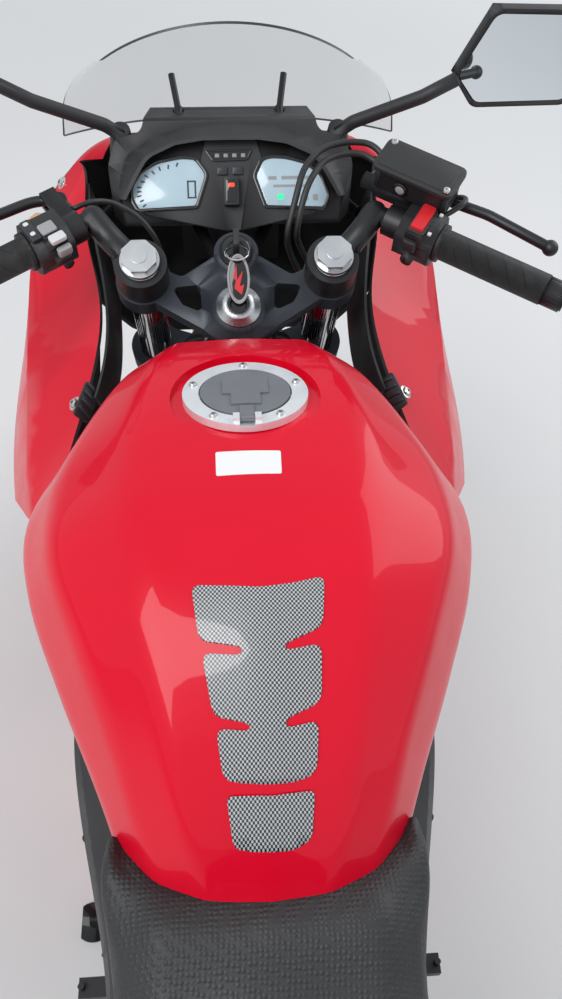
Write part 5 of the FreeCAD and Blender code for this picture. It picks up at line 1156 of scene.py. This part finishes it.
LEFT_SWITCHES = (
    ("turn_switch", rectangle(45, 63, 18, 29), 23, 29, 1.4, 3, "switch white"),
    ("dip_switch", rectangle(47, 65, -2, 13), 23.6, 27, 1.4, 3, "switch grey"),
    ("beam_rocker", rectangle(66, 78, -16, 14), 21, 26.5, 1.4, 3, "ink"),
    ("horn_button", rectangle(44, 60, 27, 35), 8, 18, 1.4, 3, "switch grey"),
    ("beam_icon_0", rectangle(69.5, 75, -12.4, -7.6), 26, 26.9, 0.2, 2, "switch white"),
    ("beam_icon_1", rectangle(69.5, 75, 2.6, 7.4), 26, 26.9, 0.2, 2, "switch white"),
)
BOOT = ((5.6, 0), (6.2, 2), (6.2, 4), (5.2, 5), (6, 7), (6, 9), (5, 10), (5.8, 12), (5.8, 14),
        (4, 16), (3.6, 26))
CLUTCH_EXIT = Vector((15.6, -24, 0))
RIGHT_SWITCHES = (
    ("kill_switch", rectangle(50, 65, -14, 22), 24, 32, 1.6, 3, "switch red"),
    ("kill_surround", rectangle(47.5, 67.5, -17, 25), 22, 27.4, 1.2, 4, "ink"),
    ("start_button", rectangle(48, 64, 25, 34), 4, 18, 2, 4, "black plastic"),
    ("switch_mark_0", rectangle(70, 74, -14, -10), 24.6, 27, 0.2, 1, "switch white"),
    ("switch_mark_1", rectangle(70, 74, 16, 20), 24.6, 27, 0.2, 1, "switch white"),
)
SIGHT_GLASS = ((8.4, 0), (8.4, 3), (7, 4), (5.6, 4), (5.2, 3))
SIGHT_PANE = ((5.4, 0), (5.4, 3.4), (3.4, 4))
THROTTLE_RUN = ((69, -18, 14), (82, -34, 22), (86, -50, 22), (78, -60, 14), (58, -62, 0),
                (34, -54, -12), (12, -36, -16), (2, -14, -14))
THROTTLE_EXIT = Vector((68, -20, 11))
CABLE_NUT = ((5, 0), (5, 10), (3.6, 12), (3.6, 16))
BACKWARDS = (Vector((1, 0, 0)), Vector((0, 0, 1)), Vector((0, -1, 0)))
FORWARDS = (Vector((1, 0, 0)), Vector((0, 0, -1)), Vector((0, 1, 0)))


class BIKE_OT_left_switches(bpy.types.Operator):
    """Buttons of the left switch housing and the clutch cable's boot."""
    bl_idname = "bike.left_switches"
    bl_label = "Left switches"

    def execute(self, context):
        plates(LEFT_SWITCHES, LEFT_BAR, "steering")
        place = LEFT_BAR @ grid_at(CLUTCH_EXIT, *BACKWARDS)
        settled(turned(BOOT), "clutch_boot", place, "steering", "cable black")
        return {"FINISHED"}


class BIKE_OT_right_switches(bpy.types.Operator):
    """Kill switch, starter button, fluid lid, sight glass and throttle cable."""
    bl_idname = "bike.right_switches"
    bl_label = "Right switches"

    def execute(self, context):
        plates(RIGHT_SWITCHES, RIGHT_BAR, "steering")
        lid = prism(rectangle(-17, 77, -59, -11), 48.5, 54, 1.6, 9, 5, -1.6)
        settled(lid, "fluid_lid", RIGHT_BAR, "steering", "black plastic")
        place = RIGHT_BAR @ grid_at(Vector((20, -14.5, 36)), *FORWARDS)
        settled(turned(SIGHT_GLASS), "sight_glass", place, "steering", "gloss black")
        settled(turned(SIGHT_PANE), "sight_pane", place, "steering", "switch grey")
        settled(wire(THROTTLE_RUN, 3), "throttle_cable", RIGHT_BAR, "steering", "cable black")
        place = RIGHT_BAR @ grid_at(THROTTLE_EXIT, *BACKWARDS)
        settled(turned(CABLE_NUT, 6), "cable_nut", place, "steering", "bolt steel")
        return {"FINISHED"}


SCREW_HEAD = ((1, 0), (1, 0.25), (0.78, 0.6), (0.46, 0.68))
SCREW_RADIUS = 4.2
WASHER = ((8.5, -1), (8.5, 0.8), (7.6, 1.3))
FILLER_SCREWS = 5
FILLER_CIRCLE = 52.3
LID_SCREWS = ((-9, -52), (69, -18))
# Where a cowl screw sits and the way its panel faces.
COWL_SCREWS = (((298, 188, 896), (-0.13, 0.65, 0.75)), ((301, -190, 895), (-0.13, -0.65, 0.75)),
               ((635, 219, 964), (-0.25, 0.72, 0.64)), ((635, -219, 964), (-0.25, -0.72, 0.64)))


def button_screw(radius):
    """A low round head with a hexagon socket."""
    head = turned([(share * radius, rise * radius) for share, rise in SCREW_HEAD], 24)
    return carved(head, turned(((0.4 * radius, 0.2 * radius), (0.4 * radius, radius)), 6))


def on_surface(at, normal):
    """A local grid on a surface, its Z along the normal and its X level with the bike's length."""
    up = Vector(normal).normalized()
    side = up.cross(Vector((1, 0, 0))).normalized()
    return grid_at(Vector(at), side.cross(up), side, up)


class BIKE_OT_vents(bpy.types.Operator):
    """Black louvres between the tank and the side cowls."""
    bl_idname = "bike.vents"
    bl_label = "Vents"

    def execute(self, context):
        for side, name in ((1, "left"), (-1, "right")):
            rows = [(name + "_vent", rectangle(-24, 20, -11, 11), -1, 2, 0.6, 4, "black plastic")]
            for index in range(4):
                low = -19 + 10 * index
                slat = ((low, -9), (low + 4, -9), (low + 8, 9), (low + 4, 9))
                rows.append(("%s_vent_slat_%d" % (name, index), slat, 1.5, 4, 0.5, 0, "ink"))
            plates(rows, on_surface((294, side * 173, 904), (-0.41, side * -0.7, 0.59)), "root")
        return {"FINISHED"}


class BIKE_OT_screws(bpy.types.Operator):
    """Screws of the filler ring, the fluid lid and the cowls."""
    bl_idname = "bike.screws"
    bl_label = "Screws"

    def execute(self, context):
        small = button_screw(SCREW_RADIUS)
        spots = []
        for index in range(FILLER_SCREWS):
            turn = math.tau * index / FILLER_SCREWS
            on_ring = (FILLER_CIRCLE * math.cos(turn), FILLER_CIRCLE * math.sin(turn), 1.6)
            spots.append(("filler_screw_%d" % index, CAP @ Matrix.Translation(on_ring), "root"))
        for index, (x, y) in enumerate(LID_SCREWS):
            spots.append(("lid_screw_%d" % index, RIGHT_BAR @ Matrix.Translation((x, y, 55)),
                          "steering"))
        for index, (at, normal) in enumerate(COWL_SCREWS):
            grid = on_surface(at, normal)
            settled(turned(WASHER, 24), "cowl_washer_%d" % index, grid, "root", "bolt steel")
            larger = Matrix.Translation((0, 0, 1)) @ Matrix.Scale(1.35, 4)
            spots.append(("cowl_screw_%d" % index, grid @ larger, "root"))
        for name, place, body in spots:
            settled(twin(small), name, place, body, "bolt steel")
        bpy.data.objects.remove(small)
        return {"FINISHED"}


def camera_turn():
    """Rotation of the photograph's camera on the upright bike."""
    level = Vector((math.cos(CAMERA_YAW), math.sin(CAMERA_YAW), 0))
    look = level * math.cos(CAMERA_PITCH) - Vector((0, 0, math.sin(CAMERA_PITCH)))
    side = look.cross(Vector((0, 0, 1))).normalized()
    top = side.cross(look)
    right = side * math.cos(CAMERA_ROLL) + top * math.sin(CAMERA_ROLL)
    up = top * math.cos(CAMERA_ROLL) - side * math.sin(CAMERA_ROLL)
    return Matrix((right, up, -look)).transposed().to_4x4()


# Metres and watts: the floor fades into the pale backdrop between its near and far radius.
FLOOR_SIZE = 40
FLOOR_NEAR = 2.0
FLOOR_FAR = 6.0
BACKDROP = (0.8, 0.83, 0.86, 1)
SKY_COLOUR = (0.86, 0.9, 0.95, 1)
SKY_LIGHT = 0.6
SKY_SEEN = 0.9
LAMPS = (("key light", (-1.6, 2.4, 3.6), 2.6, 120), ("fill light", (1.8, -2.6, 3.2), 3.0, 70))
LAMP_AIM = Vector((0, 0, 0.6))


class BIKE_OT_stage(bpy.types.Operator):
    """Floor, backdrop, lights and the photograph's camera."""
    bl_idname = "bike.stage"
    bl_label = "Stage"

    def execute(self, context):
        scene = context.scene
        eye = bpy.data.cameras.new("photo camera")
        eye.sensor_width = SENSOR
        eye.lens = LENS_PIXELS / PHOTO_HEIGHT * SENSOR
        camera = bpy.data.objects.new("photo camera", eye)
        scene.collection.objects.link(camera)
        camera.matrix_world = PARKED @ Matrix.Translation(CAMERA_AT * MM) @ camera_turn()
        eye.clip_start = 0.02
        scene.camera = camera
        cleared()
        bpy.ops.mesh.primitive_plane_add(size=FLOOR_SIZE, location=(0, 0, 0))
        floor = context.object
        floor.name = "studio_floor"
        made = Finish("studio floor")
        fleck = made.noise(3.0, 3.0)
        colour = tuple(sizes().floor)
        made.surface(Base_Color=made.mix(fleck, shade(colour, 0.985), shade(colour, 1.015)),
                     Roughness=0.9)
        where = made.add("ShaderNodeVectorMath", {"operation": "LENGTH"}, {0: made.place()},
                         "Value")
        far = made.add("ShaderNodeMapRange", {"interpolation_type": "SMOOTHSTEP"},
                       {"Value": where, "From Min": FLOOR_NEAR, "From Max": FLOOR_FAR})
        seen = made.add("ShaderNodeLightPath", {}, {}, "Is Camera Ray")
        glow = made.add("ShaderNodeEmission", {}, {"Color": BACKDROP, "Strength": 1.0})
        blend = made.add("ShaderNodeMixShader", {}, {0: far * seen})
        made.tree.links.new(made.shader.outputs[0], blend.socket.node.inputs[1])
        made.tree.links.new(glow.socket, blend.socket.node.inputs[2])
        made.tree.links.new(blend.socket, made.output.inputs["Surface"])
        floor.data.materials.append(made.material)
        world = bpy.data.worlds.new("studio")
        scene.world = world
        world.use_nodes = True
        sky = Nodes(world.node_tree)
        background = sky.tree.nodes["Background"]
        background.inputs["Color"].default_value = SKY_COLOUR
        mirrored = sky.add("ShaderNodeLightPath", {}, {}, "Is Glossy Ray")
        seen = sky.add("ShaderNodeLightPath", {}, {}, "Is Camera Ray")
        level = sky.add("ShaderNodeMapRange", {}, {"Value": mirrored.maths("MAXIMUM", seen),
                                                   "To Min": SKY_LIGHT, "To Max": SKY_SEEN})
        sky.tree.links.new(level.socket, background.inputs["Strength"])
        for name, at, size, power in LAMPS:
            lamp = bpy.data.lights.new(name, "AREA")
            lamp.size = size
            lamp.energy = power
            light = bpy.data.objects.new(name, lamp)
            scene.collection.objects.link(light)
            light.location = at
            light.rotation_euler = (LAMP_AIM - Vector(at)).to_track_quat("-Z", "Y").to_euler()
        scene.view_settings.view_transform = "Standard"
        return {"FINISHED"}


class BIKE_PT_panel(bpy.types.Panel):
    """Lists the steps that dress the bike."""
    bl_idname = "BIKE_PT_panel"
    bl_label = "Sport bike"
    bl_space_type = "VIEW_3D"
    bl_region_type = "UI"
    bl_category = "Bike"

    def draw(self, context):
        for name in BikeSizes.__annotations__:
            self.layout.prop(context.scene.bike_sizes, name)
        for step in STEPS:
            self.layout.operator(step.bl_idname)


STEPS = (BIKE_OT_finishes, BIKE_OT_skins, BIKE_OT_tank, BIKE_OT_tank_film, BIKE_OT_seats,
         BIKE_OT_gauges, BIKE_OT_key, BIKE_OT_left_switches, BIKE_OT_right_switches, BIKE_OT_vents,
         BIKE_OT_screws, BIKE_OT_stage)
CLASSES = (BikeSizes,) + STEPS + (BIKE_PT_panel,)


def register():
    for made in CLASSES:
        bpy.utils.register_class(made)
    bpy.types.Scene.bike_sizes = PointerProperty(type=BikeSizes)


def unregister():
    del bpy.types.Scene.bike_sizes
    for made in reversed(CLASSES):
        bpy.utils.unregister_class(made)


def main():
    register()
    for step in STEPS:
        group, name = step.bl_idname.split(".")
        getattr(getattr(bpy.ops, group), name)()


if __name__ == "__main__":
    main()
